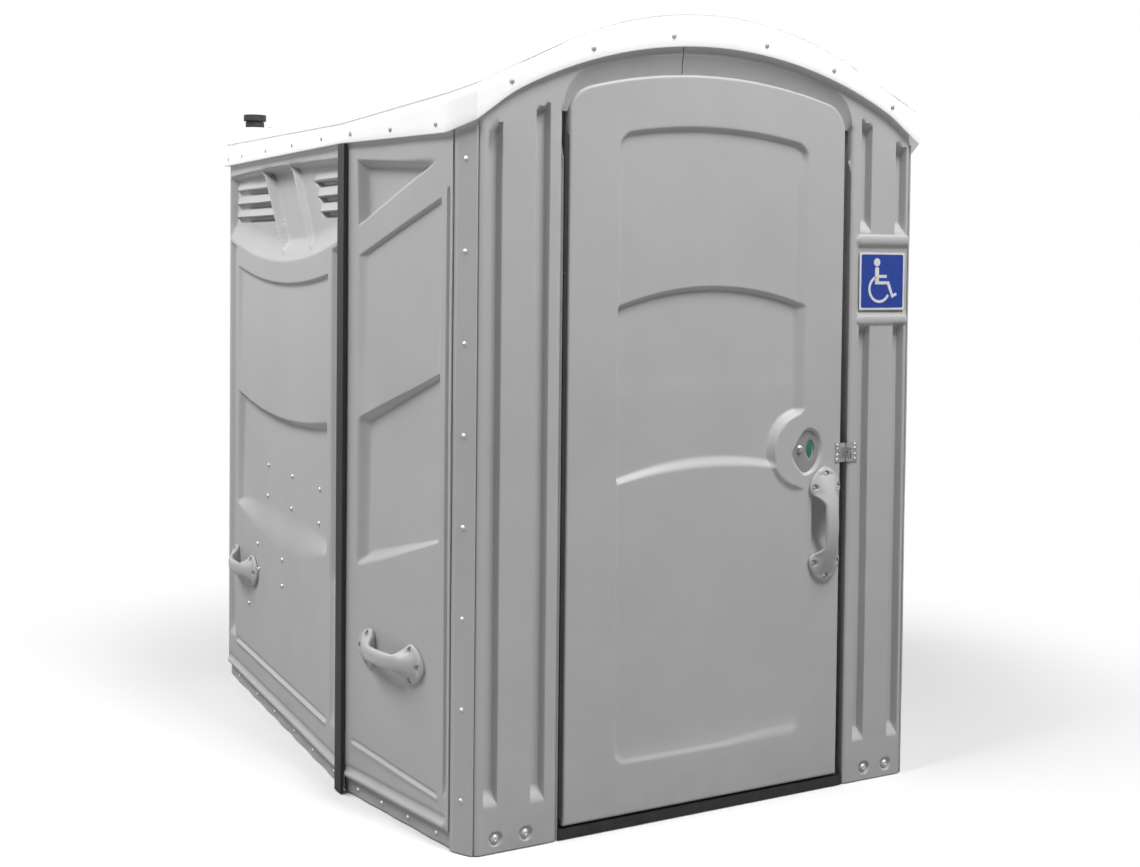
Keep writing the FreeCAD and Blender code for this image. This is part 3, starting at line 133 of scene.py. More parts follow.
def moulded_plastic(name, colour, roughness=0.42, pebble=0.00003, scuffs=0.5):
    """Satin rotationally moulded polyethylene: faint clouds in its colour, fine pebble, light scuffs."""
    finish = Finish(name, IOR=1.5, Specular_IOR_Level=0.4)
    clouds = finish.grain(3.5, 4.0, 0.6)
    specks = finish.grain(900.0, 1.0)
    dust = finish.grain(16.0, 5.0, 0.65) * (1 - finish.height().between(0.02, 0.42))
    colour_now = finish.blend(clouds.between(0.25, 0.75), shade(colour, 0.965), shade(colour, 1.03))
    colour_now = finish.blend(specks.between(0.35, 0.8) * 0.16, colour_now, shade(colour, 1.3))
    rubbed = finish.grain(9.0, 6.0, 0.7, at=finish.stretched(1.0, 1.0, 0.35)).between(0.6, 0.78) * 0.10 * scuffs
    colour_now = finish.blend(rubbed, colour_now, shade(colour, 1.35))
    colour_now = finish.blend(dust.between(0.3, 0.7) * 0.12, colour_now, (0.30, 0.285, 0.26, 1.0))
    finish.feed("Base Color", colour_now)
    finish.feed("Roughness", roughness + clouds * 0.08 + rubbed * 0.6)
    pebbles = finish.grain(520.0, 2.0) + finish.grain(60.0, 2.0) * 2.0
    finish.relief(pebbles, pebble)
    return finish.material


def paint(node, material):
    """Gives a CAD node that keeps its own shape its finish."""
    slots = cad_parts[node].data.materials
    slots.clear()
    slots.append(material)


def soften(node, radius, segments=3):
    """Rounds a CAD node's edges as a mould does."""
    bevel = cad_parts[node].modifiers.new("rounded", "BEVEL")
    bevel.width = radius
    bevel.segments = segments
    bevel.limit_method = "ANGLE"
    bevel.angle_limit = math.radians(35)
    bevel.harden_normals = True


floor_finish = moulded_plastic("dark grey floor", floor_grey, 0.55, 0.00025)
paint("floor_pan", floor_finish)
soften("floor_pan", 0.003, 2)


# Threshold. A black extruded strip with a wrapped front edge, screwed over the floor's edge so that the
# wheels of a chair roll over it. Its black is partly its own colour and partly painted shade for the dark gap
# under the door.
def satin_black(name, level, roughness):
    finish = Finish(name, IOR=1.5)
    clouds = finish.grain(30.0, 4.0, 0.6)
    colour = finish.blend(clouds.between(0.3, 0.75), shade((level,) * 3, 0.8), shade((level,) * 3, 1.5))
    streaks = finish.grain(6.0, 5.0, 0.7, at=finish.stretched(30.0, 30.0, 1.0)).between(0.56, 0.74)
    finish.feed("Base Color", finish.blend(streaks * 0.18, colour, (0.16, 0.16, 0.16, 1.0)))
    finish.feed("Roughness", roughness + clouds * 0.14)
    finish.relief(finish.grain(700.0, 2.0), 0.00003)
    return finish.material


black_strip = satin_black("black strip", 0.018, 0.42)
# This black is partly the sill's own colour and partly painted shade that stands for the gap under the door.
paint("threshold_sill", black_strip)
soften("threshold_sill", 0.0015)

# Front frame. Two L-shaped mouldings of grey polyethylene about 5 mm thick, one each side of the doorway,
# which meet above it. Each has two deep upright grooves for stiffness and a rolled edge round the doorway.
wall_grey = (0.50, 0.50, 0.497)
wall_thickness = 0.0042
front_y = -1.010
front_half = 0.735
frame_meeting = -0.104
seam_gap = 0.0018
top_radius = 1.360
doorway = {-1: 0.485, 1: 0.503}
doorway_crown, doorway_radius, doorway_corner = 2.170, 1.5, 0.085


def ease(low, high, value):
    step = np.clip((value - low) / (high - low), 0.0, 1.0)
    return step * step * (3.0 - 2.0 * step)


def drop(radius, across):
    """How far a circle's arc has come down at a distance from its middle."""
    return radius - np.sqrt(radius * radius - across * across)


def in_box(across, up, low_x, high_x, low_z, high_z, corner=0.0):
    """Distance inside a box with rounded corners. Outside it is negative."""
    side = np.abs(across - (low_x + high_x) / 2) - (high_x - low_x) / 2 + corner
    rise = np.abs(up - (low_z + high_z) / 2) - (high_z - low_z) / 2 + corner
    outside = np.hypot(np.maximum(side, 0.0), np.maximum(rise, 0.0))
    return corner - outside - np.minimum(np.maximum(side, rise), 0.0)


def in_corners(across, up, corners):
    """Distance inside a closed run of straight sides, with its corners given anticlockwise."""
    inside = np.full(np.shape(across), 1e3)
    for (ax, az), (bx, bz) in zip(corners, corners[1:] + corners[:1]):
        length = math.hypot(bx - ax, bz - az)
        inside = np.minimum(inside, ((bx - ax) * (up - az) - (bz - az) * (across - ax)) / length)
    return inside


def rolled(inside, radius):
    """Depth of an edge rolled over with that radius, at a distance inside the edge."""
    short = np.clip(radius - inside, 0.0, radius)
    return radius - np.sqrt(np.maximum(radius * radius - short * short, 0.0))


def ruled(low, high, marks, fine=0.0025, coarse=0.03, reach=0.35):
    """Grid lines from low to high that crowd together at the marks."""
    fine_grid = np.linspace(low, high, 6001)
    away = np.full(fine_grid.shape, 1e3)
    for mark in list(marks) + [low, high]:
        first, last = mark if isinstance(mark, tuple) else (mark, mark)
        away = np.minimum(away, np.maximum(np.maximum(first - fine_grid, fine_grid - last), 0.0))
    crowding = 1.0 / np.clip(fine + reach * away, fine, coarse)
    count = np.concatenate([[0.0], np.cumsum((crowding[1:] + crowding[:-1]) / 2 * np.diff(fine_grid))])
    return np.interp(np.linspace(0.0, count[-1], int(count[-1]) + 2), count, fine_grid)


def new_piece(name, points, faces, body, finish, smooth=40.0):
    mesh = bpy.data.meshes.new(name)
    mesh.from_pydata([tuple(point) for point in points], [], [tuple(face) for face in faces])
    mesh.validate()
    mesh.polygons.foreach_set("use_smooth", [True] * len(mesh.polygons))
    mesh.set_sharp_from_angle(angle=math.radians(smooth))
    piece = bpy.data.objects.new(name, mesh)
    bpy.context.scene.collection.objects.link(piece)
    mesh.materials.append(finish)
    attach(piece, body)
    return piece


def rim_of(faces):
    """The open edges of a set of faces, each in the direction in which its face runs along it."""
    edges = {}
    for face in faces:
        for first, last in zip(face, face[1:] + face[:1]):
            edges[(first, last)] = True
    return [(first, last) for first, last in edges if (last, first) not in edges]


def moulded(
    name, across, up, depth, place, body, finish, rim, kept=None, flip=False, extra=(), wall=wall_thickness
):
    """A moulded wall: a grid of points pushed in by depth, with its open edge turned in as deep as rim."""
    rows, columns = across.shape
    index = np.arange(rows * columns).reshape(rows, columns)
    points = list(np.stack(place(across, up, depth), axis=-1).reshape(-1, 3))
    quads = np.stack([index[:-1, :-1], index[:-1, 1:], index[1:, 1:], index[1:, :-1]], axis=-1)
    if kept is not None:
        quads = quads[kept]
    faces = [list(map(int, quad)) for quad in quads.reshape(-1, 4)]
    edge = rim_of(faces)
    lowered = {}
    flat_x, flat_z, flat_d = across.ravel(), up.ravel(), depth.ravel()
    for vertex in sorted({end for pair in edge for end in pair}):
        lowered[vertex] = len(points)
        deep = max(rim, flat_d[vertex])
        points.append(np.array(place(flat_x[vertex], flat_z[vertex], deep)))
    faces += [[last, first, lowered[first], lowered[last]] for first, last in edge]
    for more_points, more_faces in extra:
        start = len(points)
        points += list(more_points)
        faces += [[start + corner for corner in face] for face in more_faces]
    if flip:
        faces = [face[::-1] for face in faces]
    piece = new_piece(name, points, faces, body, finish)
    sheet = piece.modifiers.new("sheet", "SOLIDIFY")
    sheet.thickness = wall
    sheet.offset = -1.0
    return piece


def front_place(across, up, depth):
    return across + 0.0 * depth, front_y + depth + 0.0 * across, up + 0.0 * depth


def arched_top(across, edge, crown, radius, corner):
    """Height of an arched top with rounded corners, where edge is the distance from the nearer side."""
    short = np.clip(corner - edge, 0.0, corner)
    return crown - drop(radius, across) - corner + np.sqrt(np.maximum(corner * corner - short * short, 0.0))


def doorway_head(across, half):
    return arched_top(across, half - np.abs(across), doorway_crown, doorway_radius, doorway_corner)


def groove(across, up, middle, low, high, slant=0.0):
    """Depth of an upright groove: sloping walls, a long chute at the foot and a steeper, slanting top."""
    half_width, wall_run, foot_run, top_run, deepest = 0.0215, 0.008, 0.042, 0.016, 0.025
    walls = np.clip((half_width - np.abs(across - middle)) / wall_run, 0.0, 1.0)
    foot = np.clip((up - low) / foot_run, 0.0, 1.0)
    top = np.clip((high + slant * (across - middle) - up) / top_run, 0.0, 1.0)
    return deepest * ease(-0.05, 1.05, np.minimum(np.minimum(walls, foot), top))


def bead(across, up, low_x, high_x, height, radius, proud):
    """A level rolled bead that stands proud of the face."""
    end = np.maximum(np.maximum(low_x - across, across - high_x), 0.0)
    away = np.hypot(end, up - height) / radius
    return -proud * np.sqrt(np.clip(1.0 - away * away, 0.0, 1.0))


base_bolts = {-1: (-0.672, -0.581), 1: (0.588, 0.672)}
base_bolt_height = 0.040


def front_frame_depth(side, half, across, up):
    """Depth of a frame: grooves, dishes round the bolts, a rolled doorway and, on the right, the sign's seat."""
    slope = -side * 0.42
    if side < 0:
        outer, inner = -0.689, -0.5475
        depth = groove(across, up, outer, 0.128, 1.950, slope) + groove(across, up, inner, 0.120, 2.014, slope)
    else:
        inner, outer = 0.562, 0.696
        depth = groove(across, up, inner, 0.126, 1.412) + groove(across, up, outer, 0.123, 1.416)
        depth += groove(across, up, inner, 1.688, 2.024, slope) + groove(across, up, outer, 1.684, 1.960, slope)
        depth += 0.004 * ease(0.0, 0.012, in_box(across, up, 0.527, front_half, 1.44, 1.655, 0.012))
        depth += bead(across, up, 0.545, 0.722, 1.668, 0.017, 0.006)
        depth += bead(across, up, 0.545, 0.722, 1.424, 0.015, 0.005)
    for bolt in base_bolts[side]:
        away = np.hypot(across - bolt, up - base_bolt_height)
        depth += 0.007 * ease(0.021, 0.0165, away)
    corner = float(doorway_head(np.array(half), half))
    beside = np.hypot(np.abs(across) - half, np.maximum(up - corner, 0.0))
    overhead = up - doorway_head(np.clip(across, -half, half), half)
    depth += rolled(np.where(np.abs(across) > half, beside, np.where(up > 1.9, overhead, 10.0)), 0.017)
    depth += rolled(front_half - np.abs(across), 0.014)
    waves = 0.0006 * np.sin(across * 23.0 + 1.3) * np.sin(up * 7.0 + side)
    return depth + waves


def swept(path, profile):
    """Points and faces of a strip: each profile point is (along the path's normal, inwards)."""
    points = []
    for step, (x, z) in enumerate(path):
        ahead = path[min(step + 1, len(path) - 1)]
        behind = path[max(step - 1, 0)]
        run = math.hypot(ahead[0] - behind[0], ahead[1] - behind[1])
        normal = ((ahead[1] - behind[1]) / run, -(ahead[0] - behind[0]) / run)
        for out, inwards in profile:
            points.append(np.array((x + normal[0] * out, front_y + inwards, z + normal[1] * out)))
    faces = []
    width = len(profile)
    for step in range(len(path) - 1):
        for side in range(width - 1):
            corner = step * width + side
            faces.append([corner, corner + 1, corner + width + 1, corner + width])
    return points, faces


shell_finish = moulded_plastic("grey moulded wall", wall_grey)
for name, side in (("left", -1), ("right", 1)):
    half = doorway[side]
    corner_start = doorway_crown - drop(doorway_radius, half) - doorway_corner
    if side < 0:
        marks = [(-0.712, -0.651), (-0.602, -0.525), (-0.49, -0.455)]
        columns = ruled(-front_half, frame_meeting - seam_gap, marks)
    else:
        marks = [(0.539, 0.609), (0.651, 0.719), (0.475, 0.508)]
        columns = ruled(frame_meeting + seam_gap, front_half, marks)
    columns[np.argmin(np.abs(columns - side * half))] = side * half
    marks = [(0.018, 0.062), (0.118, 0.172)]
    if side > 0:
        marks += [(1.40, 1.45), (1.64, 1.73)]
    lower = ruled(0.003, corner_start, marks, 0.003, 0.04)
    grid_top = 2.06
    upper = ruled(corner_start, grid_top, [(corner_start, 2.03)], 0.0045, 0.02)
    across, level = np.meshgrid(columns, np.concatenate([lower, upper[1:]]))
    frame_top = 2.243 - drop(top_radius, across)
    inner = np.abs(across) <= half
    low_edge = np.where(inner, doorway_head(np.clip(across, -half, half), half), corner_start)
    share = np.clip((level - corner_start) / (grid_top - corner_start), 0.0, 1.0)
    up = np.where(level <= corner_start, level, low_edge + share * (frame_top - low_edge))
    jamb = side * (columns[:-1] + columns[1:]) / 2 > half
    kept = jamb[None, :] | (np.arange(len(across) - 1) >= len(lower) - 1)[:, None]
    depth = front_frame_depth(side, half, across, up)
    head = np.linspace(side * half, frame_meeting + 0.001 * side, 60)
    path = [(side * half, 0.049), (side * half, corner_start)]
    path += [(x, float(doorway_head(np.array(x), half))) for x in head[1:]]
    stop = swept(path, [(side * 0.004, 0.034), (side * 0.004, 0.0395), (-side * 0.031, 0.0395)])
    if side > 0:
        stop = (stop[0], [face[::-1] for face in stop[1]])
    frame_piece = moulded(
        f"front_frame_{name}_moulding", across, up, depth, front_place, "cabin", shell_finish, 0.036, kept,
        extra=[stop],
    )
    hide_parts(f"front_frame_{name}")

# Corner strips. A flat grey strip each side that bridges the front frame and the side panel, with a soft crease
# along its rear edge. Eight bright dome rivets hold it, about 246 mm apart.
def ring_faces(rings, around, start=0):
    """Faces between rings of points that all have the same number of points around."""
    faces = []
    for ring in range(rings - 1):
        for step in range(around):
            near = start + ring * around + step
            beside = start + ring * around + (step + 1) % around
            faces.append([near, beside, beside + around, near + around])
    return faces


def turned(name, profile, centres, body, finish, around=20):
    """Round pieces of one profile, each turned about its own axis. centres gives (place, axis) pairs."""
    points = []
    faces = []
    angles = [2 * math.pi * step / around for step in range(around)]
    for centre, axis in centres:
        out = Vector(axis).normalized()
        across = out.orthogonal().normalized()
        over = out.cross(across)
        start = len(points)
        for radius, proud in profile:
            for angle in angles:
                reach = across * math.cos(angle) * radius + over * math.sin(angle) * radius
                points.append(Vector(centre) + reach + out * proud)
        faces += ring_faces(len(profile), around, start)
        faces.append([start + (len(profile) - 1) * around + step for step in range(around)])
    return new_piece(name, points, faces, body, finish, 50.0)


def bright_metal(name, level, roughness):
    finish = Finish(name, Metallic=1.0)
    clouds = finish.grain(90.0, 4.0, 0.6)
    spots = finish.grain(420.0, 2.0).between(0.58, 0.72)
    colour = finish.blend(clouds.between(0.3, 0.7), shade((level,) * 3, 0.82), shade((level,) * 3, 1.12))
    finish.feed("Base Color", finish.blend(spots * 0.35, colour, (0.3, 0.29, 0.27, 1.0)))
    finish.feed("Roughness", roughness + clouds * 0.12 + spots * 0.2)
    finish.relief(finish.grain(600.0, 2.0), 0.00002)
    return finish.material


def on_wall(side, ends):
    """Gives the function that puts (along, height, depth) in place on a wall between two points of the plan."""
    (start_x, start_y), (end_x, end_y) = ends
    length = math.hypot(end_x - start_x, end_y - start_y)
    along_x = (end_x - start_x) / length
    along_y = (end_y - start_y) / length

    def place(across, up, depth):
        x = start_x + along_x * across - along_y * depth
        y = start_y + along_y * across + along_x * depth
        return side * x + 0.0 * up, y + 0.0 * up, up + 0.0 * across

    return place


strip_ends = ((0.740, -1.004), (0.778, -0.9394))
strip_length = math.dist(*strip_ends)
rivet_bright = bright_metal("bright rivet", 0.62, 0.32)
rivet_dome = [
    (0.0075, 0.0), (0.0075, 0.0008), (0.0058, 0.0016), (0.0050, 0.0028), (0.0034, 0.0040), (0.0013, 0.0044),
]
for name, side in (("left", -1), ("right", 1)):
    columns = ruled(0.0, strip_length, [(0.0, 0.006), (strip_length - 0.016, strip_length)], 0.0012, 0.008)
    rows = ruled(0.003, 1.965, [], 0.02, 0.06, 0.2)
    across, up = np.meshgrid(columns, rows)
    depth = rolled(across, 0.003) + 0.0026 * ease(strip_length - 0.013, strip_length - 0.004, across)
    depth += 0.0005 * np.sin(up * 9.0 + side)
    strip = moulded(
        f"corner_strip_{name}_moulding", across, up, depth, on_wall(side, strip_ends), "cabin", shell_finish,
        0.005, flip=side < 0, wall=0.003,
    )
    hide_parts(f"corner_strip_{name}")

rivet_spacing = 0.2455
places = [
    ((side * 0.7585, -0.9715, 1.864 - rivet_spacing * step), (side * 0.862, -0.507, 0.0))
    for side in (-1, 1) for step in range(8)
]
domes = turned("corner_rivet_domes", rivet_dome, places, "cabin", rivet_bright)
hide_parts("corner_rivets")

# Front side panels. One grey moulding each side between the corner and the black seam strip: a triangular dish
# under the roof, a field that falls back under two sloping steps, a low shelf and an upright groove in front.
front_wall_ends = ((0.780, -0.936), (0.880, -0.377))
rear_wall_ends = ((0.880, -0.377), (0.835, 1.010))
wall_foot, wall_top = 0.0485, 1.9648
wall_rim = 0.028


def facing(place, across, up, depth=0.0):
    """A point on a wall and the direction in which the wall faces there."""
    point = Vector(place(across, up, depth))
    return point, (Vector(place(across, up, depth - 1.0)) - point).normalized()


def levelled(columns, *curves):
    """Grid rows that follow curves and never cross. Each curve comes with the spacing of the rows above it."""
    levels = []
    line = np.full(columns.shape, -1.0)
    for curve, step in curves:
        line = np.maximum(np.broadcast_to(np.asarray(curve, float), columns.shape), line + 0.0012)
        levels.append((line, step))
    rows = []
    for (low, step), (high, _) in zip(levels, levels[1:]):
        count = max(int(round(float(np.max(high - low)) / step)), 1)
        shares = np.linspace(0.0, 1.0, count + 1)[:-1]
        rows.append(low[None, :] + shares[:, None] * (high - low)[None, :])
    rows.append(levels[-1][0][None, :])
    up = np.concatenate(rows)
    return np.broadcast_to(columns, up.shape).copy(), up


def along_run(columns, *points):
    """Height of a curve through some points, held level beyond its ends."""
    return np.interp(columns, [point[0] for point in points], [point[1] for point in points])


def bent_run(columns, *points):
    """Height of a smooth arc through three points, carried on beyond them."""
    (ax, az), (bx, bz), (cx, cz) = points
    return (
        az * (columns - bx) * (columns - cx) / ((ax - bx) * (ax - cx))
        + bz * (columns - ax) * (columns - cx) / ((bx - ax) * (bx - cx))
        + cz * (columns - ax) * (columns - bx) / ((cx - ax) * (cx - bx))
    )


def foot_bead(up):
    """Depth of the rounded bead above a wall's foot and of the hollow over it."""
    return 0.0035 * ease(0.014, 0.0, np.abs(up - 0.084)) - 0.0065 * ease(0.013, 0.002, np.abs(up - 0.062))


def foot_flange(name, columns, place, swell, ripple, flip=False):
    """The thin flange below a wall, set back from it, which the base rivets go through. It is slightly wavy."""
    across, up = np.meshgrid(columns, np.array([0.004, 0.009, 0.016, 0.024, 0.032, 0.040, 0.052]))
    depth = 0.0125 + swell * np.sin(across * ripple) * ease(0.03, 0.005, up)
    flange = moulded(name, across, up, depth, place, "cabin", shell_finish, 0.0155, flip=flip, wall=0.0025)


for name, side in (("left", -1), ("right", 1)):
    place = on_wall(side, front_wall_ends)
    columns = ruled(0.0015, 0.562, [(0.006, 0.034), (0.050, 0.068), (0.412, 0.496)], 0.0024, 0.018)
    first = along_run(columns, (0.0, 1.786), (0.055, 1.766), (0.485, 1.607), (0.562, 1.585))
    second = along_run(columns, (0.0, 1.312), (0.049, 1.295), (0.472, 1.142), (0.562, 1.112))
    shelf = along_run(columns, (0.0, 0.845), (0.06, 0.838), (0.418, 0.752), (0.485, 0.715), (0.562, 0.700))
    lip = along_run(columns, (0.0, 0.833), (0.064, 0.825), (0.353, 0.729), (0.485, 0.692), (0.562, 0.678))
    low_line = along_run(columns, (0.0, 0.132), (0.061, 0.137), (0.509, 0.171), (0.562, 0.174))
    slant = along_run(columns, (0.0, 1.880), (0.077, 1.860), (0.491, 1.689), (0.562, 1.664))
    undercut = 0.009 + 0.019 * np.clip(columns / 0.472, 0.0, 1.0)
    across, up = levelled(
        columns, (wall_foot, 0.003), (0.098, 0.01), (low_line - 0.014, 0.003), (low_line + 0.012, 0.03),
        (lip - 0.006, 0.004), (shelf + 0.004, 0.03), (second - undercut - 0.004, 0.003), (second + 0.004, 0.03),
        (first - 0.012, 0.0018), (first + 0.003, 0.012), (slant - 0.006, 0.004), (slant + 0.045, 0.008),
        (1.832, 0.003), (1.896, 0.010), (wall_top, 0.01),
    )
    sides = ease(0.053, 0.066, across) * (1.0 - ease(0.442, 0.492, across) ** 1.3)
    upper_share = np.clip((first - up) / np.maximum(first - second, 0.01), 0.0, 1.0)
    upper_field = (0.011 - 0.008 * upper_share) * ease(0.0, 0.006, first - up)
    lower_share = np.clip((second - up) / np.maximum(second - shelf, 0.01), 0.0, 1.0)
    lower_deep = (0.014 + 0.014 * across / 0.472) * (1.0 - 0.25 * lower_share)
    lower_field = lower_deep * ease(0.0, 1.0, (second - up) / undercut)
    field = np.where(up > second, upper_field, np.maximum(lower_field, 0.003 * (1 - lower_share)))
    on_shelf = ease(0.0, 1.0, (up - lip) / np.maximum(shelf - lip, 0.004))
    depth = sides * field * on_shelf
    dish = in_corners(across, up, [(0.077, 1.861), (0.491, 1.689), (0.497, 1.886)])
    depth += 0.026 * ease(-0.001, 0.024, dish) * (1.0 + 0.3 * across)
    walls = np.clip((0.0085 - np.abs(across - 0.020)) / 0.006, 0.0, 1.0)
    ends = np.clip((up - 0.140) / 0.024, 0.0, 1.0) * np.clip((1.792 - up) / 0.010, 0.0, 1.0)
    depth += 0.009 * ease(0.0, 1.0, np.minimum(walls, ends))
    between = ease(0.050, 0.062, across) * (1.0 - ease(0.500, 0.514, across))
    depth += 0.0050 * between * ease(0.011, -0.004, np.abs(up - low_line)) * (up > low_line - 0.012)
    depth -= 0.0045 * between * ease(0.009, 0.0, np.abs(up - low_line + 0.010))
    depth = np.maximum(depth, -0.003) + rolled(up - wall_foot, 0.008)
    depth += ease(0.010, 0.024, across) * ease(0.556, 0.545, across) * foot_bead(up)
    depth += 0.0006 * np.sin(across * 17.0 + up * 4.0)
    wall = moulded(
        f"side_front_{name}_moulding", across, up, depth, place, "cabin", shell_finish, wall_rim, flip=side < 0
    )
    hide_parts(f"side_front_{name}")
    foot_flange(f"side_front_{name}_flange", np.linspace(0.004, 0.561, 60), place, 0.0012, 40.0, side < 0)

# Rear side panels. The large grey moulding of each side: a bowl-shaped vent recess with six louvres and a chute
# between two slanted fins, a field that falls back under two curved steps, a low shelf and an upright channel
# near each end. The bottom edge ends in a bead above a set-back flange.
def louvre(across, up, low_s, high_s, height):
    """Depth of one louvre: it leans out to a lip over a dark slot, and both run out to a point at the rear."""
    point = np.clip((across - low_s) / 0.008, 0.0, 1.0) * np.clip((high_s - across) / 0.050, 0.0, 1.0)
    below = np.clip((height - up) / 0.003, 0.0, 1.0) * np.clip((up - height + 0.022 * point) / 0.008, 0.0, 1.0)
    above = np.clip((up - height) / 0.001, 0.0, 1.0) * np.clip((height + 0.026 - up) / 0.026, 0.0, 1.0)
    return (point > 0.0) * 0.017 * below - 0.015 * above * point


def fin(across, up, top_s, foot_s, high, low):
    """Share of a narrow fin that leans from its top to its foot."""
    share = (high - up) / (high - low)
    middle = top_s + share * (foot_s - top_s)
    return np.clip(1.6 - np.abs(across - middle) / 0.007, 0.0, 1.0) * (share > -0.2) * (share < 1.05)


for name, side in (("left", -1), ("right", 1)):
    place = on_wall(side, rear_wall_ends)
    marks = [(0.045, 0.070), (0.110, 0.215), (0.30, 0.62), (0.70, 0.96), (1.20, 1.30), (1.345, 1.375)]
    columns = ruled(0.006, 1.385, marks, 0.006, 0.024)
    smile = bent_run(columns, (0.049, 1.653), (0.700, 1.583), (1.371, 1.667))
    under = bent_run(columns, (0.129, 1.555), (0.620, 1.512), (1.221, 1.559))
    middle = bent_run(columns, (0.187, 1.095), (0.655, 1.058), (1.217, 1.099))
    shelf = 0.742 - 0.018 * ((columns - 0.67) / 0.46) ** 4
    lip = bent_run(columns, (0.212, 0.668), (0.75, 0.612), (1.256, 0.682))
    lip = np.minimum(lip, shelf - 0.012)
    fall = 0.010 + 0.020 * np.clip((1.0 - columns) / 0.8, 0.0, 1.0)
    across, up = levelled(
        columns, (wall_foot, 0.003), (0.098, 0.01), (0.155, 0.003), (0.186, 0.02), (lip - 0.010, 0.005),
        (shelf + 0.006, 0.025), (middle - fall - 0.006, 0.004), (middle + 0.004, 0.025),
        (under - 0.012, 0.0018), (under + 0.003, 0.008), (smile - 0.006, 0.004), (smile + 0.045, 0.0045),
        (1.730, 0.0027), (1.862, 0.0034), (1.906, 0.012), (wall_top, 0.01),
    )
    field_side = ease(0.160, 0.180, across) * (1.0 - ease(1.225, 1.252, across))
    share = np.clip((under - up) / (under - middle), 0.0, 1.0)
    upper_field = (0.012 - 0.009 * share) * ease(0.0, 0.006, under - up)
    share = np.clip((middle - up) / np.maximum(middle - shelf, 0.01), 0.0, 1.0)
    lower_field = (0.026 - 0.009 * share) * ease(0.0, 1.0, (middle - up) / fall)
    field = np.where(up > middle, upper_field, np.maximum(lower_field, 0.003))
    shelf_share = np.clip((up - lip) / np.maximum(shelf - lip, 0.008), 0.0, 1.0)
    depth = field_side * field * ease(-0.04, 1.0, shelf_share)
    for low_s, high_s in ((0.050, 0.126), (1.276, 1.366)):
        walls = np.clip((0.5 * (high_s - low_s) - np.abs(across - 0.5 * (low_s + high_s))) / 0.020, 0.0, 1.0)
        foot = np.clip((up - 0.165) / 0.040, 0.0, 1.0)
        top = np.clip((smile - 0.012 - up) / 0.014, 0.0, 1.0)
        channel = 0.017 * ease(-0.05, 1.05, np.minimum(np.minimum(walls, foot), top))
        if low_s < 0.1:
            channel *= 1.0 - 0.55 * (1.0 - ease(0.600, 0.640, up))
        depth += channel
    bowl_sides = np.clip((across - 0.044) / 0.018, 0.0, 1.0) * np.clip((1.376 - across) / 0.018, 0.0, 1.0)
    bowl_foot = np.clip((up - smile) / 0.085, 0.0, 1.0)
    arch_top = 0.010 * np.sin(np.pi * np.clip(across / 1.39, 0.0, 1.0))
    bowl = ease(0.0, 1.0, np.clip((1.896 + arch_top - up) / 0.020, 0.0, 1.0)) * ease(0.0, 1.0, bowl_sides)
    bowl = bowl * np.sin(0.5 * np.pi * bowl_foot)
    depth += (0.034 - 0.007 * ease(1.05, 1.20, across)) * bowl
    ribs = np.zeros(up.shape)
    for height, end in ((1.840, 0.902), (1.790, 0.869), (1.742, 0.828)):
        ribs += louvre(across, up, end, 1.368, height)
    for height, end in ((1.840, 0.403), (1.790, 0.366), (1.742, 0.338)):
        ribs += louvre(across, up, 0.046, end + 0.012, height)
    (rear_top, rear_foot), (near_top, near_foot) = (0.947, 0.708), (0.593, 0.381)
    fins = np.maximum(
        fin(across, up, rear_top, rear_foot, 1.894, 1.615), fin(across, up, near_top, near_foot, 1.892, 1.615)
    )
    chute_middle = 0.5 * (rear_top + near_top) + (1.893 - up) / 0.278 * 0.5 * (
        rear_foot + near_foot - rear_top - near_top
    )
    half_chute = 0.177 - (1.893 - up) / 0.278 * 0.014
    chute = np.clip((half_chute - np.abs(across - chute_middle)) / 0.008, 0.0, 1.0)
    chute_foot = np.clip((up - 1.618) / 0.040, 0.0, 1.0)
    depth += bowl * ribs
    depth += 0.012 * bowl * chute * chute_foot
    fin_depth = 0.012 * np.clip((1.90 - up) / 0.02, 0.0, 1.0)
    depth = depth * (1.0 - fins) + np.minimum(depth, fin_depth) * fins
    along = ease(0.150, 0.170, across) * (1.0 - ease(1.245, 1.262, across))
    depth = np.minimum(depth, 0.0305 + 0.03 * ease(1.22, 1.10, across))
    depth += 0.005 * along * ease(0.012, 0.0, np.abs(up - 0.172))
    depth -= 0.0045 * along * ease(0.009, 0.0, np.abs(up - 0.160))
    depth += rolled(up - wall_foot, 0.008) + rolled(1.3868 - across, 0.010)
    depth += ease(0.010, 0.024, across) * ease(1.380, 1.366, across) * foot_bead(up)
    depth += 0.0005 * np.sin(across * 9.0) * np.sin(up * 5.0 + side)
    depth = np.maximum(depth, -0.007)
    wall = moulded(
        f"side_rear_{name}_moulding", across, up, depth, place, "cabin", shell_finish, wall_rim, flip=side < 0
    )
    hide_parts(f"side_rear_{name}")
    foot_flange(f"side_rear_{name}_flange", np.linspace(0.008, 1.384, 120), place, 0.0016, 34.0, side < 0)

# Base rivets hold the flanges of the walls to the floor, and eleven bolts in the left wall carry the grab bar
# and the paper holder inside. Four larger dome bolts hold the front frame down.
forwards, backwards, upwards = (0.0, -1.0, 0.0), (0.0, 1.0, 0.0), (0.0, 0.0, 1.0)
rivet_height = 0.024
places = []
for side in (-1, 1):
    for along in (0.075, 0.219, 0.359, 0.492):
        places.append(facing(on_wall(side, front_wall_ends), along, rivet_height, 0.0125))
    for along in (0.113, 0.328, 0.542, 0.777, 1.005, 1.260):
        places.append(facing(on_wall(side, rear_wall_ends), along, rivet_height, 0.0125))
for along in (-0.690, -0.345, 0.0, 0.345, 0.690):
    places.append(((along, 0.998, rivet_height), backwards))
domes = turned("base_rivet_domes", rivet_dome, places, "cabin", rivet_bright)
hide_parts("base_rivets")

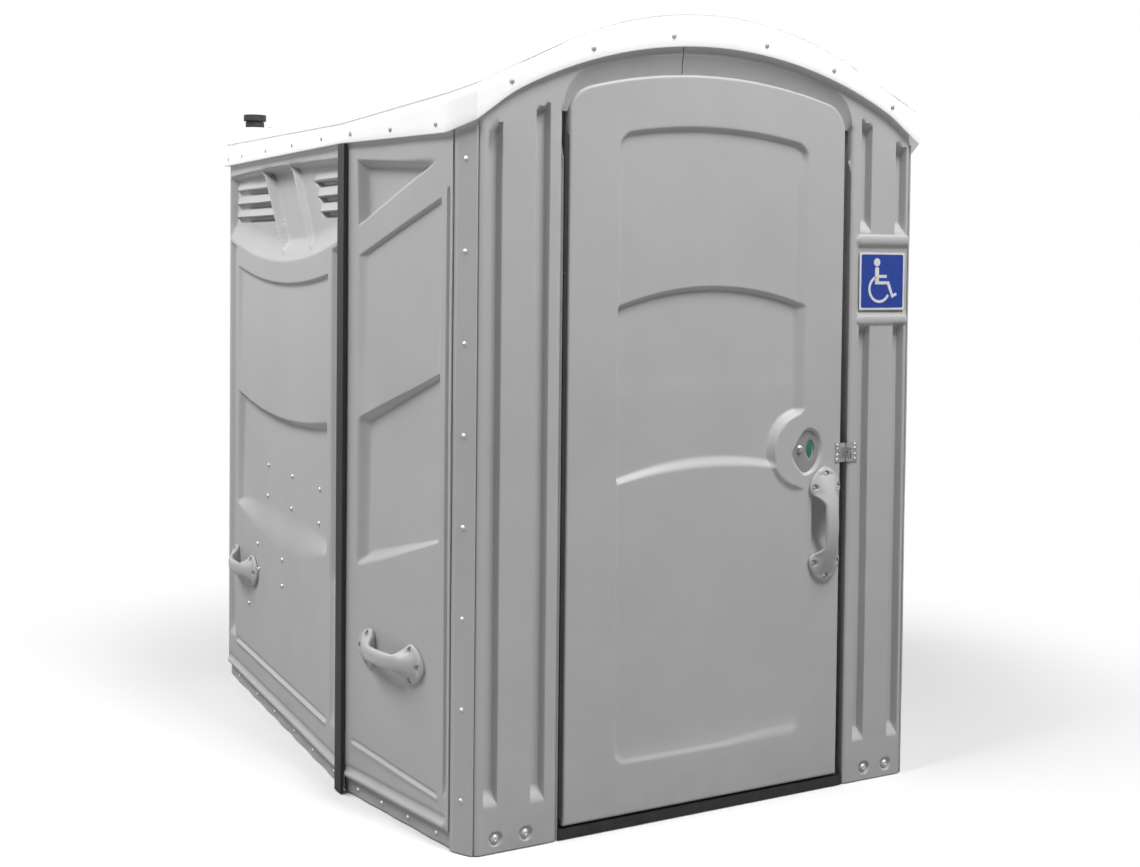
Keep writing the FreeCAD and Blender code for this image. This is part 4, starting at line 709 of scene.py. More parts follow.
bolt_dome = [
    (0.0085, 0.0), (0.0085, 0.0012), (0.0072, 0.0014), (0.0066, 0.0034), (0.0048, 0.0050), (0.0020, 0.0056),
]
spots = [(along, height) for along in (0.893, 0.599, 0.293) for height in (0.865, 0.757)]
spots += [(0.962, 0.577), (0.647, 0.577), (0.948, 0.489), (0.647, 0.489), (1.082, 0.340)]
left_rear = bpy.data.objects["side_rear_left_moulding"]
places = []
for along, height in spots:
    point, out = facing(on_wall(-1, rear_wall_ends), along, height)
    hit, surface, _, _ = left_rear.ray_cast(left_rear.matrix_world.inverted() @ (point + out * 0.1), -out)
    places.append((left_rear.matrix_world @ surface if hit else point, out))
domes = turned("wall_bolt_domes", bolt_dome, places, "cabin", rivet_bright)
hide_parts("wall_bolts")

base_dome = [
    (0.0125, 0.0), (0.0125, 0.0012), (0.0100, 0.0020), (0.0092, 0.0044), (0.0066, 0.0064), (0.0040, 0.0069),
    (0.0032, 0.0060), (0.0010, 0.0058),
]
dish_floor = front_y + 0.0068
places = [((across, dish_floor, base_bolt_height), forwards) for across in base_bolts[-1] + base_bolts[1]]
domes = turned("base_bolt_domes", base_dome, places, "cabin", rivet_bright, 28)
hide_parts("base_bolts")

# Seam strips. A black extruded T-strip, pushed in between the two mouldings of each side.
for name in ("left", "right"):
    paint(f"seam_strip_{name}", black_strip)
    soften(f"seam_strip_{name}", 0.0022)

# Back panel. One wide grey moulding with an arched top, two broad upright fields, and a shallow vent recess
# with three rows of louvres. The photograph doesn't show it, so it repeats the sides' forms.
def on_back(across, up, depth):
    return -across + 0.0 * up, 1.010 - depth + 0.0 * across, up + 0.0 * across


columns = ruled(-0.8015, 0.8015, [(-0.78, -0.72), (-0.08, 0.08), (0.72, 0.78)], 0.004, 0.03)
back_top = 2.2425 - drop(top_radius, columns)
low_step = bent_run(columns, (-0.75, 1.095), (0.0, 1.058), (0.75, 1.095))
across, up = levelled(
    columns, (wall_foot, 0.003), (0.066, 0.03), (0.140, 0.004), (0.180, 0.03), (low_step - 0.030, 0.004),
    (low_step + 0.004, 0.03), (1.590, 0.004), (1.625, 0.02), (1.690, 0.004), (1.735, 0.0025), (1.900, 0.02),
    (back_top, 0.02),
)
apart = np.abs(across)
field = np.minimum(ease(0.060, 0.080, apart), 1.0 - ease(0.722, 0.742, apart))
field_top = 1.62
share = np.clip((field_top - up) / (field_top - low_step), 0.0, 1.0)
upper_field = (0.018 - 0.012 * share) * ease(0.0, 0.016, field_top - up)
lower_field = 0.0085 * ease(0.0, 0.012, low_step - up) * ease(0.150, 0.176, up)
depth = field * np.where(up > low_step, upper_field, np.maximum(lower_field, 0.006 * ease(0.15, 0.176, up)))
recess = ease(1.700, 1.728, up) * (1.0 - ease(1.878, 1.894, up)) * (1.0 - ease(0.725, 0.745, apart))
depth += 0.016 * recess
for height in (1.742, 1.790, 1.838):
    depth += recess * louvre(apart, up, 0.10, 0.69, height) * 0.8
depth += rolled(up - wall_foot, 0.012) + rolled(0.8020 - apart, 0.008)
wall = moulded("back_panel_moulding", across, up, depth, on_back, "cabin", shell_finish, wall_rim)
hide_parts("back_panel")
foot_flange("back_panel_flange", np.linspace(-0.80, 0.80, 120), on_back, 0.0012, 34.0)

# Roof. One thick moulding of translucent white polyethylene that lets daylight in. It is arched from side to
# side, its rounded edge turns down into a skirt over the walls, and 28 screws hold the skirt. Its skirt and
# edges have a painted glow, and its top is painted darker, a painted shade.
roof_plan = [(0.752, -1.027), (0.797, -0.936), (0.897, -0.377), (0.852, 1.027)]
edge_round = 0.014
crown_radius, crown_half = 1.150, 0.5
skirt_middle, skirt_side = 2.207, 1.935


def roof_height(across):
    """Height of the arched top: a round crown that runs out straight to the sides."""
    apart = np.abs(across)
    straight = np.maximum(apart - crown_half, 0.0) * crown_half / math.sqrt(crown_radius**2 - crown_half**2)
    return 2.2985 - drop(crown_radius, np.minimum(apart, crown_half)) - straight


def skirt_foot(across):
    """Height of the skirt's lower edge at the front and the back."""
    return np.maximum(skirt_middle - drop(top_radius, np.clip(across, -0.86, 0.86)), skirt_side)


def white_roof_plastic():
    # Emission Strength 1 switches on the painted glow that is fed in below.
    finish = Finish(
        "translucent white roof with painted glow", IOR=1.5, Specular_IOR_Level=0.35, Subsurface_Weight=0.12,
        Subsurface_Scale=0.01, Emission_Strength=1.0,
    )
    clouds = finish.grain(3.0, 4.0, 0.6)
    # Painted shade on top: faces that look upwards get a darker base colour than the skirt and edges.
    upright = finish.node("SeparateXYZ", None, {0: finish.node("TexCoord", output="Normal")}, "Z")
    top_painted_shade = upright.between(0.2, 0.9)
    colour = finish.blend(clouds.between(0.25, 0.75), (0.86, 0.865, 0.87, 1.0), (0.91, 0.91, 0.905, 1.0))
    colour = finish.blend(top_painted_shade, colour, (0.60, 0.60, 0.595, 1.0))
    # Painted glow: grey emission on the skirt and edges and almost none on the top, so the roof glows though it
    # is no lamp.
    finish.feed("Emission Color", finish.blend(top_painted_shade, (0.24, 0.24, 0.24, 1.0), (0.03, 0.03, 0.03, 1.0)))
    dust = finish.grain(7.0, 6.0, 0.7, at=finish.stretched(1.0, 2.4, 1.0)).between(0.56, 0.80)
    finish.feed("Base Color", finish.blend(dust * 0.22, colour, (0.66, 0.65, 0.62, 1.0)))
    finish.feed("Roughness", 0.38 + clouds * 0.1)
    finish.relief(finish.grain(420.0, 2.0) + finish.grain(30.0, 2.0) * 2.0, 0.00004)
    return finish.material


roof_finish = white_roof_plastic()
side_run = []
for (ax, ay), (bx, by) in zip(roof_plan, roof_plan[1:]):
    count = max(int(math.hypot(bx - ax, by - ay) / 0.018), 2)
    side_run += [(ax + (bx - ax) * step / count, ay + (by - ay) * step / count) for step in range(count)]
(front_end, front_edge), (rear_end, rear_edge) = roof_plan[0], roof_plan[-1]
rear_run = [(rear_end - 2 * rear_end * step / 90, rear_edge) for step in range(91)]
front_run = [(-front_end + 2 * front_end * step / 80, front_edge) for step in range(1, 80)]
outline = np.array(side_run + rear_run + [(-x, y) for x, y in reversed(side_run)] + front_run)
tangent = np.roll(outline, -1, axis=0) - np.roll(outline, 1, axis=0)
tangent = tangent / np.linalg.norm(tangent, axis=1)[:, None]
inwards = np.stack([-tangent[:, 1], tangent[:, 0]], axis=1)
top_at_edge = roof_height(outline[:, 0])
front_foot = skirt_foot(outline[:, 0]) - 0.014 * ease(0.62, front_end, np.abs(outline[:, 0]))
side_foot = skirt_side + 0.031 * np.clip((-0.930 - outline[:, 1]) / 0.097, 0.0, 1.0)
foot = np.where(outline[:, 1] < -1.02, front_foot, side_foot)
foot = np.where(outline[:, 1] > 1.02, skirt_foot(outline[:, 0]), foot)
rings = []
for share in (0.0, 0.03, 0.3, 0.6, 0.85):
    level = foot + share * (top_at_edge - edge_round - foot)
    flare = 0.0008 if share else 0.0
    rings.append(np.column_stack([outline + inwards * (0.0015 - flare), level]))
for turn_step in range(1, 6):
    angle = 0.5 * math.pi * turn_step / 5
    inset = edge_round * (1.0 - math.cos(angle))
    level = top_at_edge - edge_round * (1.0 - math.sin(angle))
    rings.append(np.column_stack([outline + inwards * (inset + 0.0007), level]))
for share in (0.992, 0.985, 0.97, 0.93, 0.87, 0.80, 0.72, 0.63, 0.53, 0.42, 0.31, 0.20, 0.10):
    flat = outline * share
    ripple = 0.0012 * np.sin(flat[:, 1] * 6.0) * np.sin(flat[:, 0] * 5.0) * (1 - share)
    rings.append(np.column_stack([flat, roof_height(flat[:, 0]) + ripple]))
points = np.vstack(rings + [[[0.0, 0.0, float(roof_height(0.0))]]])
around = len(outline)
last = (len(rings) - 1) * around
faces = ring_faces(len(rings), around)
faces += [[last + step, last + (step + 1) % around, len(points) - 1] for step in range(around)]
roof = new_piece("roof_moulding", points, faces, "cabin", roof_finish, 50.0)
sheet = roof.modifiers.new("sheet", "SOLIDIFY")
sheet.thickness = 0.0045
sheet.offset = -1.0
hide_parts("roof_shell")

# Vent boot: the moulded collar round the pipe, drawn up out of the roof.
profile = [
    (0.098, 0.0), (0.088, 0.010), (0.078, 0.034), (0.070, 0.058), (0.064, 0.070), (0.058, 0.0755),
    (0.0362, 0.0765), (0.0356, 0.074), (0.0356, 0.030),
]
vent_x, vent_y = -0.768, 0.912
boot_foot, boot_top = 2.000, 2.0765
points = []
around = 48
for radius, level in profile:
    for step in range(around):
        angle = 2 * math.pi * step / around
        x = -0.756 - 0.012 * ease(0.05, 0.036, radius) + radius * math.cos(angle)
        y = vent_y + radius * math.sin(angle)
        on_roof = float(roof_height(max(abs(x), 0.2))) - 0.003
        height = boot_foot + level if radius < 0.075 else max(boot_foot + level, on_roof)
        points.append((max(x, -0.8565), min(y, 1.012), min(height, boot_top)))
collar = new_piece("roof_vent_boot", points, ring_faces(len(profile), around), "cabin", roof_finish, 50.0)

# Roof screws. Bright pan heads with a driver recess, all round the skirt.
screw_steel = bright_metal("roof screw", 0.55, 0.32)
screw_dome = [
    (0.0072, 0.0), (0.0072, 0.0009), (0.0056, 0.0012), (0.0056, 0.0024), (0.0044, 0.0030), (0.0018, 0.0030),
    (0.0014, 0.0018), (0.0004, 0.0018),
]
places = []
for across in (-0.651, -0.404, -0.147, 0.172, 0.418, 0.644):
    height = skirt_middle - drop(top_radius, across) + 0.030
    places.append(((across, -1.0268, height), forwards))
    places.append(((-across, 1.0268, height), backwards))
skirt_screw_height, skirt_face = 1.960, -0.0165
for side in (-1, 1):
    for along in (0.060, 0.290, 0.510):
        places.append(facing(on_wall(side, front_wall_ends), along, skirt_screw_height, skirt_face))
    for along in (0.180, 0.500, 0.820, 1.140, 1.340):
        places.append(facing(on_wall(side, rear_wall_ends), along, skirt_screw_height, skirt_face))
domes = turned("roof_screw_heads", screw_dome, places, "cabin", screw_steel, 18)
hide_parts("roof_screws")

# Vent. A black pipe from the tank deck up through the roof, with a mushroom cap that keeps the rain out.
vent_black = satin_black("black vent pipe", 0.02, 0.5)
paint("vent_pipe", vent_black)
soften("vent_pipe", 0.0008)
cap_profile = [
    (0.0405, 0.000), (0.0410, 0.0012), (0.0410, 0.0130), (0.0402, 0.0165), (0.0380, 0.0195), (0.0330, 0.0214),
    (0.0200, 0.0220), (0.0060, 0.0222),
]
cap = turned("vent_cap_dome", cap_profile, [((vent_x, vent_y, 2.102), upwards)], "cabin", vent_black, 56)
paint("vent_cap", vent_black)

# Door, outer skin. A wide grey moulding about 5 mm thick with a rolled edge. Its field steps back under two
# arcs, and near the lock side it carries a crescent-shaped boss for the latch and a pocket for the fingers.
door_low, door_left, door_right = 0.036, -0.467, 0.480
door_crown, door_radius, door_corner = 2.129, 1.600, 0.065


def door_side(across):
    """Distance from the nearer side of the door."""
    return np.where(across < 0, across - door_left, door_right - across)


def door_top(across, inset=0.0):
    """Height of the door's arched top edge, with its rounded corners."""
    return arched_top(across, door_side(across) - inset, door_crown, door_radius, door_corner) - inset


def pebble_corners(across, up, corners, radius):
    """Distance inside a shape of straight sides whose corners are rounded off."""
    inside = np.zeros(np.shape(across))
    for (ax, az), (bx, bz) in zip(corners, corners[1:] + corners[:1]):
        length = math.hypot(bx - ax, bz - az)
        away = ((bx - ax) * (up - az) - (bz - az) * (across - ax)) / length
        inside = inside + np.exp(-np.clip(away, -0.2, 0.5) / radius)
    return -radius * np.log(np.maximum(inside, 1e-12))


latch_leaf_round = 0.007
latch_leaf = [
    (0.283, 1.026), (0.337, 0.949), (0.379, 0.961), (0.411, 1.006), (0.415, 1.052), (0.396, 1.094),
    (0.350, 1.114), (0.327, 1.097), (0.306, 1.062),
]
marks = [(door_left, -0.452), (-0.314, -0.290), (0.205, 0.252), (0.280, 0.480)]
columns = ruled(door_left, door_right, marks, 0.0026, 0.020)
edge_line = door_top(columns)
top_arc = 1.984 - drop(door_radius, columns)
upper_arc = bent_run(columns, (-0.309, 1.470), (0.010, 1.528), (0.327, 1.477))
low_arc = bent_run(columns, (-0.309, 0.968), (0.010, 1.003), (0.330, 0.970))
high_arc = bent_run(columns, (-0.309, 0.985), (0.010, 1.037), (0.330, 0.985))
across, up = levelled(
    columns, (door_low, 0.0025), (0.052, 0.03), (0.172, 0.004), (0.215, 0.028), (0.640, 0.012), (0.714, 0.0030),
    (0.735, 0.008), (0.885, 0.0030), (0.904, 0.004), (low_arc - 0.004, 0.004), (high_arc + 0.004, 0.0045),
    (1.178, 0.03), (upper_arc - 0.018, 0.003), (upper_arc + 0.003, 0.03), (top_arc - 0.030, 0.0035),
    (top_arc + 0.002, 0.012), (np.minimum(edge_line - 0.012, top_arc + 0.110), 0.0025), (edge_line, 0.01),
)
inside = in_box(across, up, -0.312, 0.348, 0.180, top_arc, 0.046)
step_back = ease(0.0, 0.012, upper_arc - up)
step_out = ease(0.0, 1.0, (up - low_arc) / (high_arc - low_arc))
middle_share = np.clip((upper_arc - up) / 0.49, 0.0, 1.0)
upper_field = 0.012 + 0.014 * step_back - 0.003 * middle_share * step_back
field = np.where(up > 1.25, upper_field, 0.008 + 0.015 * step_out) * (0.55 + 0.45 * ease(0.176, 0.235, up))
depth = field * ease(0.0, 0.017 + 0.024 * ease(0.0, 0.3, across) * ease(0.02, 0.10, top_arc - up), inside)
edge_in = np.minimum(np.minimum(door_side(across), up - door_low), edge_line - up)
arch = door_crown - drop(door_radius, across)
corner_in = in_box(across, up, door_left, door_right, door_low - 0.2, arch, door_corner)
depth += rolled(np.minimum(edge_in, np.maximum(corner_in, 0.0)), 0.009)
latch_z = 1.040
away = np.hypot(across - 0.338, up - latch_z)
depth = depth * (1.0 - ease(0.125, 0.090, away))
crest = np.sqrt(np.clip(1.0 - ((away - 0.088) / 0.034) ** 2, 0.0, 1.0))
depth -= 0.0085 * crest * crest * ease(0.400, 0.330, across)
leaf = pebble_corners(across, up, latch_leaf, latch_leaf_round)
depth += (0.0125 - np.minimum(depth, 0.0)) * ease(0.000, 0.016, leaf)
pocket = in_box(across, up, 0.371, 0.461, 0.716, 0.902, 0.020)
pocket_floor = 0.026 * ease(0.0, 0.006, pocket) * ease(0.716, 0.772, up)
depth = np.maximum(depth, pocket_floor)
depth += 0.0007 * np.sin(across * 11.0 + 0.7) * np.sin(up * 4.3)
dish = np.hypot(across - 0.03, up - 1.30)
depth += 0.0006 * np.exp(-((dish / 0.05) ** 2))
door_face = moulded("door_face_moulding", across, up, depth, front_place, "door", shell_finish, 0.031)
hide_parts("door_outer_skin")

# Door, inner skin. A thinner grey sheet welded to the outer one, with a shallow field inside a raised border.
def door_back(across, up, depth):
    return -across + 0.0 * up, -0.9722 - depth + 0.0 * across, up + 0.0 * across


inner_columns = ruled(-0.478, 0.465, [(-0.40, -0.36), (0.35, 0.39)], 0.003, 0.025)
inner_top = door_top(-inner_columns, 0.002) - 0.0015
across, up = levelled(
    inner_columns, (0.038, 0.003), (0.052, 0.03), (0.130, 0.004), (0.165, 0.04), (0.980, 0.004), (1.010, 0.04),
    (1.900, 0.004), (1.930, 0.02), (inner_top - 0.012, 0.003), (inner_top, 0.01),
)
inner_in = in_box(across, up, -0.385, 0.372, 0.140, 1.920, 0.050)
depth = 0.0035 * ease(0.0, 0.016, inner_in)
depth -= 0.0028 * ease(0.018, 0.004, np.abs(up - 0.995)) * ease(0.0, 0.020, inner_in)
edge_in = np.minimum(np.minimum(across + 0.478, 0.465 - across), up - 0.038)
depth += rolled(np.minimum(edge_in, inner_top - up), 0.003)
door_inside = moulded(
    "door_inside_moulding", across, up, depth, door_back, "door", shell_finish, 0.0035, wall=0.001
)
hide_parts("door_inner_skin")

# Hinge. Two full-length black extruded leaves whose knuckles take turns on one steel pin.
for node in ("jamb_hinge_leaf", "door_hinge_leaf"):
    paint(node, black_strip)
    soften(node, 0.0008, 2)
dull_steel = bright_metal("dull steel", 0.42, 0.36)
paint("hinge_pin", dull_steel)

# Latch. A domed spindle head and a leaf-shaped cover plate with a window. The disc behind it shows green, and
# red once the latch is turned. Inside, a lever turns the spindle against a strike on the jamb.
cover_grey = moulded_plastic("latch cover", (0.30, 0.30, 0.298), 0.36, 0.00002, 0.3)
window_x, window_z = 0.369, 1.0375
around = 120
reach = np.linspace(0.0, 0.12, 1201)
spokes = []
for step in range(around):
    angle = 2 * math.pi * step / around
    across, up = window_x + math.cos(angle) * reach, window_z + math.sin(angle) * reach
    in_window = 1.0 - (np.abs(across - window_x) / 0.0150) ** 1.7 - (np.abs(up - window_z) / 0.0275) ** 1.7
    in_cover = pebble_corners(across, up, latch_leaf, latch_leaf_round) - 0.0085
    spokes.append((angle, reach[np.argmax(in_window < 0.0)], reach[np.argmax(in_cover < 0.0)]))
rings = (
    (0.0, 0.0112), (0.0, 0.0098), (0.03, 0.0092), (0.30, 0.0090), (0.60, 0.0090), (0.90, 0.0092), (1.0, 0.0096),
)
points = []
for share, depth in rings:
    for angle, near, far in spokes:
        out = near + share * (far - near)
        points.append((window_x + math.cos(angle) * out, front_y + depth, window_z + math.sin(angle) * out))
cover = new_piece("latch_cover_plate", points, ring_faces(len(rings), around), "door", cover_grey, 50.0)
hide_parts("latch_bezel")


spindle_x = 0.328


def indicator():
    """Green on the half that shows at rest, red on the other, parted by a slanting line through the spindle."""
    finish = Finish("latch indicator", IOR=1.5, Specular_IOR_Level=0.5)
    place = finish.place()
    x = finish.node("SeparateXYZ", None, {0: place}, "X")
    z = finish.node("SeparateXYZ", None, {0: place}, "Z")
    turned_share = ((z - latch_z) - (x - spindle_x)).between(-0.0005, 0.0005)
    clouds = finish.grain(160.0, 3.0)
    green = finish.blend(clouds, (0.018, 0.150, 0.092, 1.0), (0.030, 0.205, 0.125, 1.0))
    red = finish.blend(clouds, (0.40, 0.018, 0.014, 1.0), (0.52, 0.030, 0.022, 1.0))
    finish.feed("Base Color", finish.blend(turned_share, green, red))
    finish.feed("Roughness", 0.34 + clouds * 0.12)
    return finish.material


disc_profile = [(0.0505, 0.0000), (0.0505, 0.0010), (0.0498, 0.0014), (0.0080, 0.0015)]
disc_places = [((spindle_x, -0.9975, latch_z), forwards)]
disc = turned("latch_indicator_disc", disc_profile, disc_places, "latch", indicator(), 72)
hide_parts("latch_disc")
head_profile = [
    (0.0110, -0.0100), (0.0110, 0.0006), (0.0100, 0.0014), (0.0082, 0.0034), (0.0046, 0.0044), (0.0016, 0.0049),
]
head_places = [((0.331, -1.0015, latch_z), forwards)]
spindle_head = turned("latch_spindle_head", head_profile, head_places, "latch", rivet_bright, 36)
paint("latch_spindle", dull_steel)
lever_finish = satin_black("latch lever", 0.03, 0.4)
paint("latch_lever", lever_finish)
soften("latch_lever", 0.0035, 4)
zinc = bright_metal("zinc plate", 0.50, 0.38)
paint("latch_strike", zinc)
soften("latch_strike", 0.0006, 2)

# Padlock hasp. Two thin zinc-plated steel plates, each with an ear for the shackle and four rivets.
for node in ("hasp_door_plate", "hasp_jamb_plate"):
    paint(node, zinc)
    soften(node, 0.0007, 2)
small_dome = [(0.0042, 0.0), (0.0042, 0.0006), (0.0034, 0.0016), (0.0018, 0.0022)]
for node, across, body in (("hasp_door_rivets", 0.464, "door"), ("hasp_jamb_rivets", 0.531, "cabin")):
    places = [((across, -1.0120, latch_z + rise), forwards) for rise in (-0.038, -0.024, -0.006, 0.006)]
    domes = turned(f"{node}_domes", small_dome, places, body, rivet_bright, 16)
    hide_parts(node)

# Handles. Glossy grey mouldings: an arched flat grip that spreads at each end into a broad three-cornered lobe,
# where three screws sit at the bottom of deep holes. One is on each face of the door, and four lift the cabin.
handle_grey = moulded_plastic("grey handle", (0.50, 0.50, 0.495), 0.30, 0.00001, 0.7)
lobe_screws = ((0.154, 0.0), (0.114, -0.043), (0.114, 0.043))
screw_spots = [(end * out, across) for end in (-1, 1) for out, across in lobe_screws]
grip_ends, lobe_widest, handle_end = 0.0895, 0.108, 0.173


def lobe_half_width(out):
    """Half the handle's width at a distance from its middle."""
    grip = 0.0220 + 0.022 * max(out - 0.058, 0.0) ** 2 / 0.030**2
    if out < 0.088:
        return grip
    if out < lobe_widest:
        shoulder = 0.036 + math.sqrt(max(0.020**2 - (lobe_widest - out) ** 2, 0.0))
        return max(shoulder, grip if out < grip_ends else 0.0)
    return 0.056 * max(1.0 - ((out - lobe_widest) / 0.0651) ** 1.8, 0.0) ** 0.62 + 0.0002


def handle_shape():
    """Points (along, across, out from the wall) and faces of the closed handle, before its holes are cut."""
    half = np.concatenate([
        np.linspace(0.0, 0.080, 34), np.linspace(0.0815, 0.094, 11), np.linspace(0.0965, 0.166, 30),
        handle_end - 0.007 * np.linspace(0.9, 0, 10) ** 2,
    ])
    runs = np.concatenate([-half[:0:-1], half])
    around = 80
    points = []
    for along in runs:
        out = abs(along)
        wide = lobe_half_width(out)
        crown = 0.056 - float(drop(0.2889, min(out, 0.150))) - 0.006 * float(ease(0.158, handle_end, out))
        gap = 0.0330 - float(drop(0.0432, np.clip(out - 0.046, 0.0, 0.042)))
        gap = max(gap, 0.0) * float(ease(grip_ends, 0.084, out))
        flat = float(ease(0.066, 0.098, out))
        power = 2.5 + 0.9 * flat
        for step in range(around):
            angle = 2 * math.pi * step / around
            across = wide * math.copysign(abs(math.cos(angle)) ** (2 / power), math.cos(angle))
            rise = abs(math.sin(angle)) ** (2 / power)
            spread = 1.0 / (1.0 + (across / 0.030) ** 4)
            top = crown * (1.0 - flat) + flat * (0.0125 + (crown - 0.0125) * spread)
            side = (crown + gap) / 2 * (1.0 - flat) + flat * 0.004
            low = gap if out < grip_ends else 0.0
            reach = (top - side) * rise if math.sin(angle) > 0 else (low - side) * rise
            points.append((along, across, side + reach))
    faces = [[near, behind, ahead, beside] for near, beside, ahead, behind in ring_faces(len(runs), around)]
    faces.append(list(range(around)))
    faces.append([(len(runs) - 1) * around + step for step in range(around)][::-1])
    return points, faces


def with_holes():
    """The handle's mesh with its six screw holes cut in."""
    points, faces = handle_shape()
    mesh = bpy.data.meshes.new("handle_shape")
    mesh.from_pydata(points, [], faces)
    blank = bpy.data.objects.new("handle_blank", mesh)
    around = 28
    hole_points, hole_faces = [], []
    for along, across in screw_spots:
        start = len(hole_points)
        for radius, level in ((0.0080, 0.0058), (0.0088, 0.0105), (0.0122, 0.022), (0.0130, 0.080)):
            for step in range(around):
                angle = 2 * math.pi * step / around
                hole_points.append((along + radius * math.cos(angle), across + radius * math.sin(angle), level))
        hole_faces += ring_faces(4, around, start)
        hole_faces.append([start + step for step in range(around)][::-1])
        hole_faces.append([start + 3 * around + step for step in range(around)])
    tool_mesh = bpy.data.meshes.new("hole_tool")
    tool_mesh.from_pydata(hole_points, [], hole_faces)
    tool = bpy.data.objects.new("hole_tool", tool_mesh)
    for part in (blank, tool):
        bpy.context.scene.collection.objects.link(part)
    cut = blank.modifiers.new("holes", "BOOLEAN")
    cut.operation = "DIFFERENCE"
    cut.object = tool
    cut.solver = "EXACT"
    cut_mesh = bpy.data.meshes.new_from_object(blank.evaluated_get(bpy.context.evaluated_depsgraph_get()))
    points = [tuple(vertex.co) for vertex in cut_mesh.vertices]
    faces = [list(polygon.vertices) for polygon in cut_mesh.polygons]
    for part in (blank, tool):
        bpy.data.objects.remove(part)
    for spare in (mesh, tool_mesh, cut_mesh):
        bpy.data.meshes.remove(spare)
    return points, faces


handle_points, handle_faces = with_holes()
pan_head = [
    (0.0064, -0.0010), (0.0064, 0.0006), (0.0056, 0.0024), (0.0036, 0.0034), (0.0024, 0.0024), (0.0008, 0.0023),
]


def handle(name, place, body, node, mirrored=False):
    """place(along, across, out) gives a point. Returns the seats of the handle's screws."""
    faces = [face[::-1] for face in handle_faces] if mirrored else handle_faces
    grip = new_piece(name, [place(*point) for point in handle_points], faces, body, handle_grey, 40.0)
    edge = grip.modifiers.new("moulded edges", "BEVEL")
    edge.width = 0.0011
    edge.segments = 2
    edge.limit_method = "ANGLE"
    edge.angle_limit = math.radians(50)
    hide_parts(node)
    seats = []
    for along, across in screw_spots:
        seat = Vector(place(along, across, 0.0060))
        seats.append((seat, (Vector(place(along, across, 0.1060)) - seat).normalized()))
    return seats


pull_height, lift_height = 0.811, 0.470


def outside_pull(along, across, out):
    return 0.416 + across, front_y - out, pull_height + along


def inside_pull(along, across, out):
    return 0.396 + across, -0.972 + out, pull_height + along


def lift(side, ends, middle):
    """Gives the function that puts a level lifting handle on a wall."""
    wall_place = on_wall(side, ends)

    def place(along, across, out):
        return tuple(float(value) for value in wall_place(middle + along, lift_height + across, -out))

    return place


seats = handle("pull_handle_moulding", outside_pull, "door", "pull_handle", True)
heads = turned("pull_handle_screw_heads", pan_head, seats, "door", rivet_bright)
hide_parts("pull_handle_screws")
seats = handle("inside_pull_moulding", inside_pull, "door", "inside_pull")
heads = turned("inside_pull_screw_heads", pan_head, seats, "door", rivet_bright)
seats = []
for name, side in (("left", -1), ("right", 1)):
    for part, ends, middle in (("front", front_wall_ends, 0.290), ("rear", rear_wall_ends, 1.125)):
        node = f"lift_handle_{part}_{name}"
        seats += handle(f"{node}_moulding", lift(side, ends, middle), "cabin", node, side < 0)
heads = turned("lift_handle_screw_heads", pan_head, seats, "cabin", rivet_bright)
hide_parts("lift_handle_screws")

# Access sign. A thin blue plate with a white line round it and the white wheelchair figure.
def printed(name, colour):
    """Smooth sign enamel with a few rubbed marks."""
    finish = Finish(name, IOR=1.5, Specular_IOR_Level=0.5)
    clouds = finish.grain(26.0, 4.0, 0.6)
    marks = finish.grain(300.0, 2.0).between(0.64, 0.78)
    worn = finish.blend(clouds.between(0.3, 0.7), shade(colour, 0.92), shade(colour, 1.06))
    finish.feed("Base Color", finish.blend(marks * 0.10, worn, (0.5, 0.5, 0.5, 1.0)))
    finish.feed("Roughness", 0.32 + clouds * 0.12)
    finish.relief(finish.grain(500.0, 2.0), 0.00001)
    return finish.material


sign_blue = printed("sign blue", (0.012, 0.050, 0.330))
sign_white = printed("sign white", (0.78, 0.79, 0.80))
paint("access_sign", sign_white)
soften("access_sign", 0.0008, 2)
sign_x, sign_z, sign_y = 0.627, 1.543, -1.0120
ink_thick = 0.00025


def flat_shapes(name, outlines, finish, out):
    """Thin raised shapes on the sign, each inside a closed outline."""
    points, faces = [], []
    for outline in outlines:
        start = len(points)
        for rise in (0.0, ink_thick):
            points += [(sign_x + x, sign_y - out - rise, sign_z + z) for x, z in outline]
        faces += ring_faces(2, len(outline), start)
        faces.append([start + len(outline) + step for step in range(len(outline))])
    piece = new_piece(name, points, faces, "cabin", finish, 30.0)


def arc_points(centre_x, centre_z, radius, degrees):
    """Points of a circle at a run of angles."""
    turns = [math.radians(turn) for turn in degrees]
    return [(centre_x + radius * math.cos(turn), centre_z + radius * math.sin(turn)) for turn in turns]


corner, straight = 0.006, 0.0815 - 0.006
field_outline = []
for turn, (x, z) in enumerate(((1, 1), (-1, 1), (-1, -1), (1, -1))):
    quarter = [90 * (turn + step / 8) for step in range(9)]
    field_outline += arc_points(x * straight, z * straight, corner, quarter)
flat_shapes("sign_blue_field", [field_outline], sign_blue, 0.0)
head_outline = arc_points(-0.0215, 0.0575, 0.0125, [360 * step / 32 for step in range(32)])
body_outline = [
    (-0.0290, 0.0400), (-0.0285, -0.0100), (0.0190, -0.0100), (0.0380, -0.0520), (0.0580, -0.0425),
    (0.0545, -0.0350), (0.0425, -0.0400), (0.0265, -0.0005), (-0.0135, -0.0005), (-0.0135, 0.0100),
    (0.0170, 0.0100), (0.0170, 0.0190), (-0.0135, 0.0190), (-0.0135, 0.0400), (-0.0175, 0.0425),
    (-0.0250, 0.0425),
]
wheel_turns = [112 + (332 - 112) * step / 48 for step in range(49)]
wheel_outline = arc_points(-0.0110, -0.0240, 0.0430, wheel_turns)
wheel_outline += arc_points(-0.0110, -0.0240, 0.0345, wheel_turns[::-1])
flat_shapes("sign_wheelchair_figure", [head_outline, body_outline, wheel_outline], sign_white, 0.0003)

